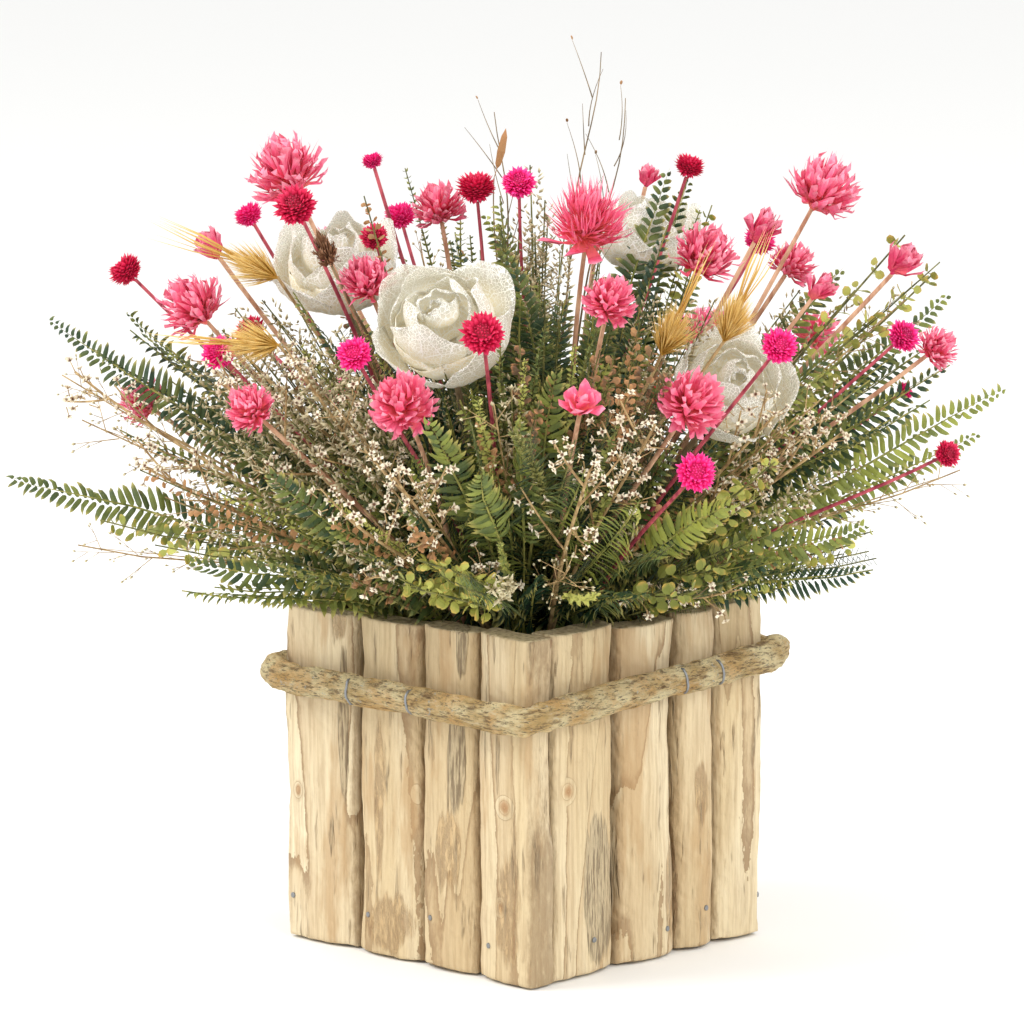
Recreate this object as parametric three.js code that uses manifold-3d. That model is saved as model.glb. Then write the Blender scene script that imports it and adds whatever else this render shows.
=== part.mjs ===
// A dried flower arrangement in a square planter nailed together from split branches.
// Millimetres, +Z up. The origin is the middle of the base board's underside, where the planter stands.

import * as THREE from "three";
import { mergeVertices } from "three/addons/utils/BufferGeometryUtils.js";
import Module from "manifold-3d";

const wasm = await Module();
wasm.setup();

// Planter
const planterWidth = 150;
const planterHeight = 151;
const slatThickness = 15;
const slatSlack = 0.5; // between neighbouring slats
const slatWander = 1.3; // how far a slat's edge wanders in
const slatBelly = 0.55; // thickness at a slat's edge, as a share of the middle
const slatFullness = 3; // 2 makes its face an ellipse, and more makes it flatter
const slatSquare = 0.82; // the same at the square edge of the corner slat
const slatAcross = [1, 0.86, 0.45, 0, -0.45, -0.86, -1]; // where its round face is drawn, in half widths
const slatUneven = 4; // spread of the slats' heights
const slatThinning = 0.06; // spread of their thickness, as a share
const slatRings = 3;
const boardThickness = 25;
const foamTop = 139;
const seatGap = 0.3; // between pieces that touch

// Bent vine round the planter
const vineRadius = 7.2;
const vineHeight = 121;
const vineTilt = 0.038; // it rises to the picture's right by this share of the way
const vineCorners = [18, 9, 15, 12]; // bend radii: left, front, right and back corner
const vineSides = 7;
const vineBendSteps = 4;
const vineRunSteps = 4;
const vineWave = 2.2; // how far it rises and sinks round the planter
const vineKnobs = 0.12; // how far its bark swells and shrinks, as a share

// Stems in the foam
const footRadius = 3; // of a bunch's wired foot, at its three corners
const footDepth = 26;
const footRise = 4.5; // above the foam
const footSpacing = 13;
const footReach = 51; // furthest a foot stands from the middle, along X and along Y
const stemClearance = 0.5;
const ballStep = 2.5; // between the balls that stand for a stem
const ballStart = 0.03; // the share of a stem that is still inside its foot
const stemHandle = 0.33; // how far a stem keeps its first and last direction, as a share of its reach
const stemLaunch = 0.5; // how much steeper than straight to the tip a stem starts
const stemLifts = [0, 0.5, 1.1, -0.3, 1.8]; // other starts that are tried, by how much steeper
const stemSways = [0, 6, -6, 12, -12, 19, -19, 27, -27, 36, -36]; // and how far aside they bow
const leafThickness = 0.9;

// The photograph's view, in pixels of its 1024 x 1024 frame
const millimetresPerPixel = 0.445;
const axisPixel = { u: 525, v: 933.5 }; // where the origin shows
const pictureMiddle = 512;
const viewTurn = THREE.MathUtils.degToRad(44);
const viewRise = THREE.MathUtils.degToRad(10);
const viewReach = 3300; // from the eye to the planter's axis

const up = new THREE.Vector3(0, 0, 1);
const alongX = new THREE.Vector3(1, 0, 0);
const towardEye = new THREE.Vector3(Math.sin(viewTurn), -Math.cos(viewTurn), 0);
const pictureRight = new THREE.Vector3(Math.cos(viewTurn), Math.sin(viewTurn), 0);
const pictureBack = towardEye.clone().multiplyScalar(Math.cos(viewRise))
  .addScaledVector(up, Math.sin(viewRise));
const pictureUp = new THREE.Vector3().crossVectors(pictureBack, pictureRight);
const fountain = new THREE.Vector3(0, 0, 118); // the point that every stem leans away from

// The point that shows at pixel (u, v), `near` millimetres in front of the planter's axis.
function spot(u, v, near) {
  const eye = pictureBack.clone().multiplyScalar(viewReach)
    .addScaledVector(pictureRight, (pictureMiddle - axisPixel.u) * millimetresPerPixel)
    .addScaledVector(pictureUp, (axisPixel.v - pictureMiddle) * millimetresPerPixel);
  const onPicture = pictureRight.clone().multiplyScalar((u - axisPixel.u) * millimetresPerPixel)
    .addScaledVector(pictureUp, (axisPixel.v - v) * millimetresPerPixel);
  const ray = onPicture.sub(eye);
  const reach = (near - eye.dot(towardEye)) / ray.dot(towardEye);
  return eye.addScaledVector(ray, reach);
}

// The same draws every time, from a starting number.
function drawer(seed) {
  let state = seed * 7919 + 17;
  return () => {
    state = (state * 1103515245 + 12345) % 2147483648;
    return state / 2147483648;
  };
}

// Heads as [u, v, near, width], all but `near` in pixels.
const coralFlowers = [
  [[285, 168, 10, 68], [210, 245, -30, 38]],
  [[190, 303, 20, 60], [140, 400, -20, 44]],
  [[247, 405, 95, 44], [400, 400, 125, 56]],
  [[365, 278, 55, 48], [438, 202, -10, 48]],
  [[590, 212, 55, 78], [610, 297, 100, 46]],
  [[583, 398, 140, 42], [694, 398, 112, 58]],
  [[707, 252, 50, 58], [763, 226, 16, 42], [795, 260, -25, 42]],
  [[826, 186, -20, 64], [821, 287, 15, 36], [904, 261, -10, 42], [940, 345, 10, 40]],
  [[600, 225, -90, 60], [648, 176, -70, 28], [705, 330, -130, 52], [820, 330, -95, 46]],
  [[470, 300, -140, 54], [330, 250, -95, 50], [345, 395, -130, 44], [560, 410, -160, 46]],
];
const globeFlowers = [
  [[125, 269, -10, 36], [248, 214, -45, 30]],
  [[215, 349, 50, 35], [293, 200, 47, 42]],
  [[352, 350, 110, 34], [482, 328, 122, 42]],
  [[372, 160, -40, 22], [373, 233, 30, 28], [476, 186, 12, 40]],
  [[519, 178, 22, 34], [690, 165, -10, 31]],
  [[783, 342, 95, 36], [699, 469, 150, 38]],
  [[907, 333, 22, 33], [951, 452, 40, 27], [905, 391, -30, 20]],
  [[250, 330, -105, 34], [400, 215, -95, 34], [650, 395, -155, 38], [760, 240, -95, 34]],
];
const skeletonRoses = [
  [440, 308, 68, 128], [322, 262, -12, 118], [744, 372, 40, 112], [660, 232, -40, 104],
];

// Fronds as [u, v, near, length of the blade, half its width] of the tip, the last two in millimetres.
const fernFronds = [
  [[5, 479, 30, 140, 16], [262, 470, 112, 68, 13], [180, 560, 70, 80, 13]],
  [[45, 318, -15, 120, 15], [122, 310, -62, 95, 13], [205, 430, 20, 75, 13]],
  [[1008, 385, 15, 140, 16], [985, 432, -30, 95, 12], [812, 556, 20, 80, 13]],
  [[955, 291, -45, 105, 13], [846, 262, -40, 80, 12]],
  [[872, 525, 85, 92, 14], [738, 498, 148, 82, 13]],
  [[428, 415, 150, 105, 15], [556, 365, 128, 85, 13], [478, 470, 158, 70, 13]],
  [[672, 165, -12, 110, 15], [505, 245, 62, 95, 13], [612, 270, 25, 90, 14]],
  [[300, 420, -165, 110, 14], [640, 420, -185, 110, 15], [900, 390, -120, 110, 14],
    [480, 210, -100, 90, 13]],
];
// Sprays as the tips [u, v, near] of their stems.
const staticeSprays = [
  [[225, 385, 85], [300, 372, 95]],
  [[395, 478, 150], [350, 520, 128]],
  [[655, 425, 138], [590, 470, 165]],
  [[775, 415, 70], [838, 436, 60]],
  [[75, 372, -5], [150, 470, 45]],
];
const roundLeafSprays = [
  [[418, 560, 118], [402, 585, 105]],
  [[775, 462, 98], [850, 545, 40]],
  [[935, 272, -28], [905, 235, -30]],
];
const heathStems = [[512, 432, 150], [500, 225, 40], [632, 352, 92], [330, 450, 60], [670, 380, -105]];
const goldenTails = [[262, 252, 22], [262, 322, 62], [738, 318, 78], [672, 330, 70]];
const bareTwigs = [[598, 52, -12], [627, 98, -8], [499, 112, -20]];

const leafletPitch = 7.2;
const stemEnd = 3; // how far a leafy stem runs past its last leaf

// Roses, by their width: a core as [height, radius] of its rings, with petals on shells round its middle.
const petalThickness = 0.9;
const roseNeck = -0.04;
const roseCore = [[0, 0.06], [0.2, 0.14], [0.38, 0.15], [0.56, 0.1]];
const roseCrown = 0.68;
const roseMiddle = 0.4;
const petalHalfSpan = THREE.MathUtils.degToRad(35);
const petalStations = [[0, 1, 0.86], [0.55, 1, 1.01], [1, 0.72, 0.98]]; // [along, spread, bulge]
// Each whorl of petals grows from a band of the core; low and high are degrees down from straight up.
const roseWhorls = [
  { band: 0, shell: 0.46, low: 118, high: 38 },
  { band: 2, shell: 0.27, low: 75, high: 15 },
];

// Rows of bracts as [height, radius, length, lean up from level in degrees], all but the last by the width.
const coralRows = [[0.22, 0.16, 0.22, 34], [0.42, 0.27, 0.24, 50], [0.66, 0.25, 0.3, 64]];
const coralCrown = 0.8;
const coralBracts = [[30, 7], [18, 6], [0, 5]]; // wider than this many millimetres, this many round it
const tailRows = [[0.15, 0.08, 0.12, 66], [0.4, 0.11, 0.14, 70], [0.68, 0.07, 0.14, 76]];
const tailBracts = 5;
const globeCore = 0.4; // radius of its core, and below how far its bracts reach, by the width
const globeReach = 0.5;

const fernLeaf = {
  radius: 1.2, width: 0, lean: 0.25, droop: 0.12, flat: true, sides: () => [0, 2],
  profile: (place) => Math.min(1, 0.45 + 2.4 * place) * (1 - 0.9 * place ** 2.2),
};
const staticeForks = [0.48, 0.62, 0.76, 0.9]; // where along its stem the twigs leave
const staticeForkHalf = 0.008; // half the share of the stem that a twig's root takes
const staticeLeans = [1.1, 0.5, 2]; // how far along the stem a twig leans, tried in turn
const staticeTwig = {
  radius: 0.7, width: 0, length: 4.5, lean: 0.4, flat: false, sides: () => [0, 1, 2],
  from: 0.28, steps: 3, profile: () => 1,
};
const roundLeaf = {
  radius: 1, width: 6, length: 8, lean: 0.5, flat: false, sides: (step) => [step % 3, (step + 1) % 3],
  facing: pictureBack, from: 0.5, steps: 7, profile: (place) => 1 - 0.35 * place,
};
const heathLeaf = {
  radius: 1.2, width: 0, length: 5.5, lean: 0.9, flat: false, sides: () => [0, 1, 2],
  facing: pictureBack, from: 0.4, steps: 8, profile: (place) => 1 - 0.3 * place,
};

// A shape under construction: its points, and its faces as triples of point numbers.
const newShape = () => ({ points: [], faces: [] });

function addPoints(shape, points) {
  return points.map((point) => shape.points.push(point) - 1);
}

// Joins two rings of equal count with a band of triangles; gives the first triangle on each side.
function bridge(shape, lower, upper) {
  return lower.map((start, i) => {
    const next = (i + 1) % lower.length;
    shape.faces.push([start, lower[next], upper[next]], [start, upper[next], upper[i]]);
    return shape.faces.length - 2;
  });
}

function closeFlat(shape, ring) {
  for (let i = 1; i + 1 < ring.length; i++) shape.faces.push([ring[0], ring[i], ring[i + 1]]);
}

function closeInPoint(shape, ring, tip) {
  const [end] = addPoints(shape, [tip]);
  ring.forEach((start, i) => shape.faces.push([start, ring[(i + 1) % ring.length], end]));
}

function middleOf(shape, corners) {
  return corners.reduce((sum, k) => sum.add(shape.points[k]), new THREE.Vector3())
    .divideScalar(corners.length);
}

// A closed body through rings of points, each counter-clockwise as seen from the last one's side.
function loft(rings, endless = false) {
  const shape = newShape();
  const loops = rings.map((ring) => addPoints(shape, ring));
  for (let i = 0; i + 1 < loops.length; i++) bridge(shape, loops[i], loops[i + 1]);
  if (endless) {
    bridge(shape, loops.at(-1), loops[0]);
  } else {
    closeFlat(shape, loops[0].toReversed());
    closeFlat(shape, loops.at(-1));
  }
  return shape;
}

function solidOf(shape) {
  return new wasm.Manifold(new wasm.Mesh({
    numProp: 3,
    vertProperties: new Float32Array(shape.points.flatMap((point) => point.toArray())),
    triVerts: new Uint32Array(shape.faces.filter(Boolean).flat()),
  }));
}

function fuse(shapes) {
  return shapes.map(solidOf).reduce((whole, piece) => whole.add(piece));
}

const arrangement = new THREE.Group();

function addNode(name, solid, finish) {
  const { vertProperties, triVerts } = solid.getMesh();
  const geometry = new THREE.BufferGeometry();
  geometry.setAttribute("position", new THREE.BufferAttribute(vertProperties, 3));
  geometry.setIndex(new THREE.BufferAttribute(triVerts, 1));
  geometry.computeVertexNormals();
  const material = new THREE.MeshStandardMaterial({ metalness: 0, flatShading: true, ...finish });
  const mesh = new THREE.Mesh(geometry, material);
  mesh.name = name;
  arrangement.add(mesh);
}

const finishes = {
  peeledWood: { color: 0xdcc79c, roughness: 0.75 },
  bark: { color: 0xa98a5e, roughness: 0.9 },
  board: { color: 0xc8b083, roughness: 0.8 },
  foam: { color: 0x27302a, roughness: 0.95 },
  coral: { color: 0xe85a78, roughness: 0.7 },
  magenta: { color: 0xd8156b, roughness: 0.7 },
  cream: { color: 0xf1ead6, roughness: 0.7 },
  fern: { color: 0x4d5f34, roughness: 0.75 },
  statice: { color: 0xe4d8bd, roughness: 0.8 },
  roundLeaf: { color: 0x9a9a45, roughness: 0.75 },
  heath: { color: 0x6d6a3c, roughness: 0.8 },
  golden: { color: 0xc9a45b, roughness: 0.8 },
  twig: { color: 0x6d5f4c, roughness: 0.85 },
};

// One split branch: flat inside, round outside, its edges wandering a little along its height.
function slatShape(from, to, squareEnd, turn, seed) {
  const draw = drawer(seed);
  const inner = planterWidth / 2 - slatThickness;
  const height = planterHeight + (draw() - 0.5) * slatUneven;
  const rings = [];
  for (let k = 0; k < slatRings; k++) {
    const left = from + slatSlack / 2 + draw() * slatWander;
    const right = to - slatSlack / 2 - draw() * slatWander;
    const belly = slatThickness * (1 - slatThinning * draw());
    const outline = [[left, 0], [right, 0]];
    for (const across of slatAcross) {
      const fall = (1 - Math.abs(across) ** slatFullness) ** (1 / slatFullness);
      const round = slatBelly + (1 - slatBelly) * fall;
      const depth = belly * (squareEnd && across > 0.5 ? Math.max(round, slatSquare) : round);
      outline.push([(left + right) / 2 + across * (right - left) / 2, depth]);
    }
    const z = height * k / (slatRings - 1);
    rings.push(outline.reverse().map(([x, depth]) => (
      new THREE.Vector3(x, -inner - depth, z).applyAxisAngle(up, turn)
    )));
  }
  return loft(rings);
}

function buildSlats() {
  const half = planterWidth / 2;
  const inner = half - slatThickness;
  // Each side starts at its left end; where it butts against its neighbour it starts or stops further in.
  const sides = [
    { name: "front_left", from: -half, widths: [41, 40, 34, 35], squareLast: true },
    { name: "front_right", from: -inner, widths: [43.5, 39, 24, 28.5] },
    { name: "back_right", from: -inner, widths: [36, 30, 38, 31] },
    { name: "back_left", from: -inner, widths: [33, 27, 31, 29] },
  ];
  sides.forEach((side, s) => {
    let from = side.from;
    side.widths.forEach((width, i) => {
      const square = Boolean(side.squareLast) && i === side.widths.length - 1;
      const shape = slatShape(from, from + width, square, s * Math.PI / 2, 10 * s + i + 1);
      addNode(`slat_${side.name}_${i + 1}`, solidOf(shape), finishes.peeledWood);
      from += width;
    });
  });
}

const squareCorners = [[-1, -1], [1, -1], [1, 1], [-1, 1]];

function boxShape(half, bottom, top) {
  return loft([bottom, top].map((z) => (
    squareCorners.map(([i, j]) => new THREE.Vector3(i * half, j * half, z))
  )));
}

function buildInside(feet) {
  const half = planterWidth / 2 - slatThickness - seatGap;
  addNode("base_board", solidOf(boxShape(half, 0, boardThickness)), finishes.board);
  const bottom = foamTop - footDepth - seatGap;
  const holes = fuse(feet.map((foot) => footShape(foot, footRadius + 2 * seatGap, bottom, foamTop + 1)));
  const block = solidOf(boxShape(half, boardThickness + seatGap, foamTop));
  addNode("foam_block", block.subtract(holes), finishes.foam);
}

// Points and directions along the vine: bends and straight runs in turn, from the left corner.
function vineStations() {
  const side = planterWidth / 2 + vineRadius + seatGap;
  const corners = squareCorners.map(([i, j]) => new THREE.Vector3(i * side, j * side, 0));
  return corners.flatMap((corner, i) => {
    const next = corners[(i + 1) % 4];
    const before = corners[(i + 3) % 4].clone().sub(corner).normalize();
    const after = next.clone().sub(corner).normalize();
    const start = corner.clone().addScaledVector(before, vineCorners[i]);
    const end = corner.clone().addScaledVector(after, vineCorners[i]);
    const bend = new THREE.QuadraticBezierCurve3(start, corner, end);
    const run = new THREE.LineCurve3(end, next.clone().addScaledVector(after, -vineCorners[(i + 1) % 4]));
    return [[bend, vineBendSteps], [run, vineRunSteps]].flatMap(([curve, steps]) => (
      Array.from({ length: steps }, (_, k) => ({
        middle: curve.getPoint(k / steps),
        along: curve.getTangent(k / steps),
      }))
    ));
  });
}

function buildVine() {
  const draw = drawer(71);
  const stations = vineStations();
  const rings = stations.map(({ middle, along }, k) => {
    const outward = new THREE.Vector3().crossVectors(along, up);
    const wave = vineWave * (Math.sin(4 * Math.PI * k / stations.length + 1) + draw() / 2);
    const rise = wave + vineTilt * middle.dot(pictureRight);
    return Array.from({ length: vineSides }, (_, i) => {
      const angle = Math.PI * (1 - 2 * i / vineSides);
      const radius = i === 0 ? vineRadius : vineRadius * (1 - vineKnobs * draw()); // the first lies on the slats
      return middle.clone()
        .addScaledVector(outward, Math.cos(angle) * radius)
        .addScaledVector(up, vineHeight + rise + Math.sin(angle) * radius);
    });
  });
  addNode("vine_hoop", solidOf(loft(rings, true)), finishes.bark);
}

// What already stands in the arrangement, as balls, so that later plants keep clear of it.
const crowd = [];

function countHits(owner, balls) {
  const rimIn = planterWidth / 2 - slatThickness;
  const rimOut = planterWidth / 2 + 2 * vineRadius;
  return balls.filter(({ at, radius }) => {
    const reach = Math.max(Math.abs(at.x), Math.abs(at.y));
    if (reach > rimIn - radius && reach < rimOut && at.z < planterHeight + 3 + radius) return true;
    if (at.z < foamTop + radius) return true;
    return crowd.some((other) => {
      const apart = radius + other.radius + stemClearance;
      return other.owner !== owner && at.distanceToSquared(other.at) < apart * apart;
    });
  }).length;
}

function settle(owner, balls) {
  balls.forEach((ball) => crowd.push({ owner, ...ball }));
}

// Balls along the straight pieces between the given shares of a line.
function ballsAlong(line, shares, radius) {
  const points = shares.map((share) => line.getPoint(Math.max(share, ballStart)));
  return points.slice(1).flatMap((end, i) => {
    const count = Math.ceil(end.distanceTo(points[i]) / ballStep);
    return Array.from({ length: count + 1 }, (_, k) => (
      { at: points[i].clone().lerp(end, k / count), radius }
    ));
  });
}

// A stem's middle line from its foot to its tip, leaning away from the fountain point at the tip.
function stemLine(foot, tip, lift, sway) {
  const reach = tip.distanceTo(foot);
  const lean = tip.clone().sub(foot).normalize();
  const side = new THREE.Vector3().crossVectors(lean, up).normalize();
  const launch = lean.clone().addScaledVector(up, stemLaunch + lift).normalize();
  const arrive = tip.clone().sub(fountain).normalize();
  return new THREE.CubicBezierCurve3(
    foot.clone(),
    foot.clone().addScaledVector(launch, reach * stemHandle).addScaledVector(side, sway * 0.6),
    tip.clone().addScaledVector(arrive, -reach * stemHandle).addScaledVector(side, sway),
    tip.clone(),
  );
}

// The least crowded of a few ways to reach the tip; a leaf can be left off, so it counts for less.
function findLine(owner, foot, tip, stemBalls, leafBallsOn = () => []) {
  let best = null;
  for (const lift of stemLifts) {
    for (const sway of stemSways) {
      const line = stemLine(foot, tip, lift, sway);
      const hits = 10 * countHits(owner, stemBalls(line)) + countHits(owner, leafBallsOn(line));
      if (!best || hits < best.hits) best = { line, hits };
      if (hits === 0) return best.line;
    }
  }
  return best.line;
}

// The direction nearest to `wanted` that is square to `along`.
function squareTo(along, wanted) {
  return wanted.clone().addScaledVector(along, -wanted.dot(along)).normalize();
}

// Three or more points round a line's direction, the first one towards `start`.
function ringRound(middle, along, radius, sides, start) {
  const first = squareTo(along, start);
  const second = new THREE.Vector3().crossVectors(along, first);
  return Array.from({ length: sides }, (_, i) => {
    const angle = i * 2 * Math.PI / sides;
    return middle.clone()
      .addScaledVector(first, Math.cos(angle) * radius)
      .addScaledVector(second, Math.sin(angle) * radius);
  });
}

function sideStart(along) {
  return Math.abs(along.z) > 0.9 ? new THREE.Vector3(1, 0, 0) : up.clone();
}

// A slim three-sided stalk along a line, through stations given as [share of the line, radius].
function stalk(line, stations) {
  const start = sideStart(line.getTangent(0.5));
  return loft(stations.map(([share, radius]) => (
    ringRound(line.getPoint(share), line.getTangent(share), radius, 3, start)
  )));
}

// Carries a three-sided stalk on from a ring at the end of its line down to the line's start.
function addStalk(shape, line, stations, neck) {
  let start = shape.points[neck[0]].clone().sub(line.getPoint(1));
  let upper = neck;
  for (const [share, radius] of stations.toReversed()) {
    const along = line.getTangent(share);
    start = squareTo(along, start);
    const ring = addPoints(shape, ringRound(line.getPoint(share), along, radius, 3, start));
    bridge(shape, ring, upper);
    upper = ring;
  }
  closeFlat(shape, upper.toReversed());
}

function taper(thick, thin, steps) {
  return Array.from({ length: steps + 1 }, (_, i) => [i / steps, thick + (thin - thick) * i / steps]);
}

// A bunch's wired foot, and with a larger radius the hole it stands in: a three-sided upright.
function footShape(foot, radius = footRadius, bottom = foamTop - footDepth, top = foamTop + footRise) {
  return loft([bottom, top].map((z) => ringRound(foot.clone().setZ(z), up, radius, 3, foot)));
}

// Turns a shape made round +Z at the origin so that it points along `axis` from `place`.
function stand(shape, place, axis, spin = 0) {
  const turn = new THREE.Quaternion().setFromUnitVectors(up, axis);
  shape.points.forEach((point) => point.applyAxisAngle(up, spin).applyQuaternion(turn).add(place));
  return shape;
}

// A bristly head, open below onto its stalk: staggered rings whose diamonds are each raised to a bract.
function bristlyHead(width, neckRadius, around, rows, crown) {
  const shape = newShape();
  const pointAt = (turns, out, height) => {
    const angle = turns * 2 * Math.PI;
    return new THREE.Vector3(Math.cos(angle) * out, Math.sin(angle) * out, height).multiplyScalar(width);
  };
  shape.neck = addPoints(shape, [0.5, 1.5, 2.5].map((third) => pointAt(third / 3, neckRadius / width, 0)));
  const rings = rows.map(([height, radius], k) => addPoints(shape, Array.from(
    { length: around },
    (_, j) => pointAt((j + (k % 2) / 2) / around, radius, height),
  )));
  const neckBelow = (j) => shape.neck[Math.floor(3 * ((j + around) % around) / around)];
  rows.forEach(([height, radius, length, lean], k) => {
    const rise = THREE.MathUtils.degToRad(lean);
    for (let j = 0; j < around; j++) {
      const next = (j + 1) % around;
      const below = k === 0 ? neckBelow(j) : rings[k - 1][k % 2 ? next : j];
      const above = k + 1 < rows.length ? [rings[k + 1][k % 2 ? next : j]] : [];
      const turns = (j + 0.5 + (k % 2) / 2) / around;
      const tip = pointAt(turns, radius + length * Math.cos(rise), height + length * Math.sin(rise));
      closeInPoint(shape, [rings[k][j], below, rings[k][next], ...above], tip);
      if (k === 0 && neckBelow(j - 1) !== below) shape.faces.push([rings[0][j], neckBelow(j - 1), below]);
    }
  });
  closeInPoint(shape, rings.at(-1), new THREE.Vector3(0, 0, crown * width));
  return shape;
}

function coralHead(width, neckRadius) {
  const [, around] = coralBracts.find(([least]) => width > least);
  return bristlyHead(width, neckRadius, around, coralRows, coralCrown);
}

// A grass head: a slim spindle of upright bristles.
function tailHead(length, neckRadius) {
  return bristlyHead(length, neckRadius, tailBracts, tailRows, 1);
}

// A globe of short bracts: the faces of an icosahedron raised to points, the lowest open onto the stalk.
function globeHead(width) {
  const core = new THREE.IcosahedronGeometry(width * globeCore, 0);
  core.deleteAttribute("normal");
  core.deleteAttribute("uv");
  const { index, attributes } = mergeVertices(core);
  const shape = newShape();
  for (let i = 0; i < attributes.position.count; i++) {
    shape.points.push(new THREE.Vector3().fromBufferAttribute(attributes.position, i));
  }
  const faces = Array.from(
    { length: index.count / 3 },
    (_, i) => [0, 1, 2].map((k) => index.getX(3 * i + k)),
  );
  const upright = new THREE.Quaternion()
    .setFromUnitVectors(middleOf(shape, faces[0]).normalize(), new THREE.Vector3(0, 0, -1));
  shape.points.forEach((point) => point.applyQuaternion(upright));
  const [lowest, ...others] = faces;
  for (const face of others) closeInPoint(shape, face, middleOf(shape, face).setLength(width * globeReach));
  shape.neck = lowest.toReversed();
  const drop = -shape.points[lowest[0]].z;
  shape.points.forEach((point) => { point.z += drop; });
  return shape;
}

// A rose: a core whose two bands of sides are drawn out into whorls of curved petals round a closed middle.
function roseHead(width, neckRadius) {
  const shape = newShape();
  const rings = roseCore.map(([height, radius]) => (
    addPoints(shape, ringRound(new THREE.Vector3(0, 0, height * width), up, radius * width, 5, alongX))
  ));
  const foot = new THREE.Vector3(0, 0, roseNeck * width);
  shape.neck = addPoints(shape, ringRound(foot, up, neckRadius, 3, alongX));
  const [first, second, third] = shape.neck;
  const below = [first, first, second, third, third];
  rings[0].forEach((corner, i) => {
    const next = (i + 1) % 5;
    shape.faces.push([below[i], rings[0][next], corner]);
    if (below[next] !== below[i]) shape.faces.push([below[i], below[next], rings[0][next]]);
  });
  closeInPoint(shape, rings.at(-1), new THREE.Vector3(0, 0, width * roseCrown));
  bridge(shape, rings[1], rings[2]);
  for (const whorl of roseWhorls) {
    bridge(shape, rings[whorl.band], rings[whorl.band + 1]).forEach((face, i) => {
      drawPetal(shape, face, (i + 0.5) * 2 * Math.PI / 5, width, whorl);
    });
  }
  return shape;
}

// Draws the four corners of a side of the core out through thin cross-sections along a round shell.
function drawPetal(shape, face, facing, width, { shell, low, high }) {
  const [lowLeft, lowRight, highRight] = shape.faces[face];
  const highLeft = shape.faces[face + 1][2];
  shape.faces[face] = null;
  shape.faces[face + 1] = null;
  let ring = [lowLeft, lowRight, highRight, highLeft];
  for (const [along, spread, bulge] of petalStations) {
    const polar = THREE.MathUtils.degToRad(low + (high - low) * along);
    const corner = (side, depth) => {
      const angle = facing + side * spread * petalHalfSpan;
      const level = Math.sin(polar);
      return new THREE.Vector3(level * Math.cos(angle), level * Math.sin(angle), Math.cos(polar))
        .multiplyScalar(width * shell * bulge - depth)
        .addScaledVector(up, roseMiddle * width);
    };
    const next = addPoints(shape, [
      corner(-1, 0), corner(1, 0), corner(1, petalThickness), corner(-1, petalThickness),
    ]);
    bridge(shape, ring, next);
    ring = next;
  }
  closeFlat(shape, ring);
}

function buildBunch(name, foot, heads, style) {
  const shapes = [footShape(foot)];
  for (const [u, v, near, pixels] of heads) {
    const width = pixels * millimetresPerPixel;
    const middle = spot(u, v, near);
    const axis = middle.clone().sub(fountain).normalize();
    const base = middle.clone().addScaledVector(axis, -style.seat * width);
    const stations = taper(style.thick, style.thin, 3);
    const shares = stations.map(([share]) => share);
    const line = findLine(name, foot, base, (way) => ballsAlong(way, shares, style.thick));
    settle(name, ballsAlong(line, shares, style.thick));
    const shape = stand(style.head(width, style.thin), base, axis, near);
    addStalk(shape, line, stations.slice(0, -1), shape.neck);
    shapes.push(shape);
  }
  addNode(name, fuse(shapes), style.finish);
}

// Where each leaf of a three-sided stem grows: its step, its side of the stem, its root and its tip.
function leavesOn(line, style) {
  const leaves = [];
  for (let step = 1; step <= style.steps; step++) {
    const place = (step - 0.5) / style.steps;
    const share = style.from + (1 - style.from) * place;
    const along = line.getTangent(share);
    const first = squareTo(along, style.facing);
    const second = new THREE.Vector3().crossVectors(along, first);
    for (const side of style.sides(step)) {
      const angle = (2 * side + 1) * Math.PI / 3;
      const outward = style.flat
        ? second.clone().multiplyScalar(Math.sign(Math.sin(angle))).addScaledVector(first, -style.droop)
        : first.clone().multiplyScalar(Math.cos(angle)).addScaledVector(second, Math.sin(angle));
      const direction = outward.addScaledVector(along, style.lean).normalize();
      const root = line.getPoint(share).addScaledVector(direction, style.radius * 0.5);
      const tip = root.clone().addScaledVector(direction, style.length * style.profile(place));
      leaves.push({ step, side, root, tip, direction, size: style.profile(place) });
    }
  }
  return leaves;
}

function leafBalls({ root, tip }) {
  return [0.4, 0.7, 0.95].map((share) => ({ at: root.clone().lerp(tip, share), radius: 1.2 }));
}

function stemShares({ from, steps }) {
  const leafed = Array.from({ length: steps + 1 }, (_, i) => from + (1 - from) * i / steps);
  return from > 0.3 ? [0, from / 2, ...leafed] : [0, ...leafed];
}

// Carries a stem on from a ring along a line, with leaves pulled out of its sides where there is room.
function growStem(owner, shape, base, line, style) {
  const shares = stemShares(style);
  settle(owner, ballsAlong(line, shares, style.radius));
  const rings = [base];
  for (const share of shares.slice(1)) {
    const size = style.radius * (1 - 0.5 * share);
    const ring = ringRound(line.getPoint(share), line.getTangent(share), size, 3, style.facing);
    rings.push(addPoints(shape, ring));
  }
  const sides = rings.slice(1).map((ring, i) => bridge(shape, rings[i], ring));
  closeInPoint(shape, rings.at(-1), line.getPoint(1).addScaledVector(line.getTangent(1), stemEnd));
  const bare = sides.length - style.steps;
  for (const leaf of leavesOn(line, style)) {
    const balls = leafBalls(leaf);
    if (countHits(owner, balls) > 0) continue;
    settle(owner, balls);
    pullLeaf(shape, sides[bare + leaf.step - 1][leaf.side], leaf, style.width * leaf.size);
  }
}

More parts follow.
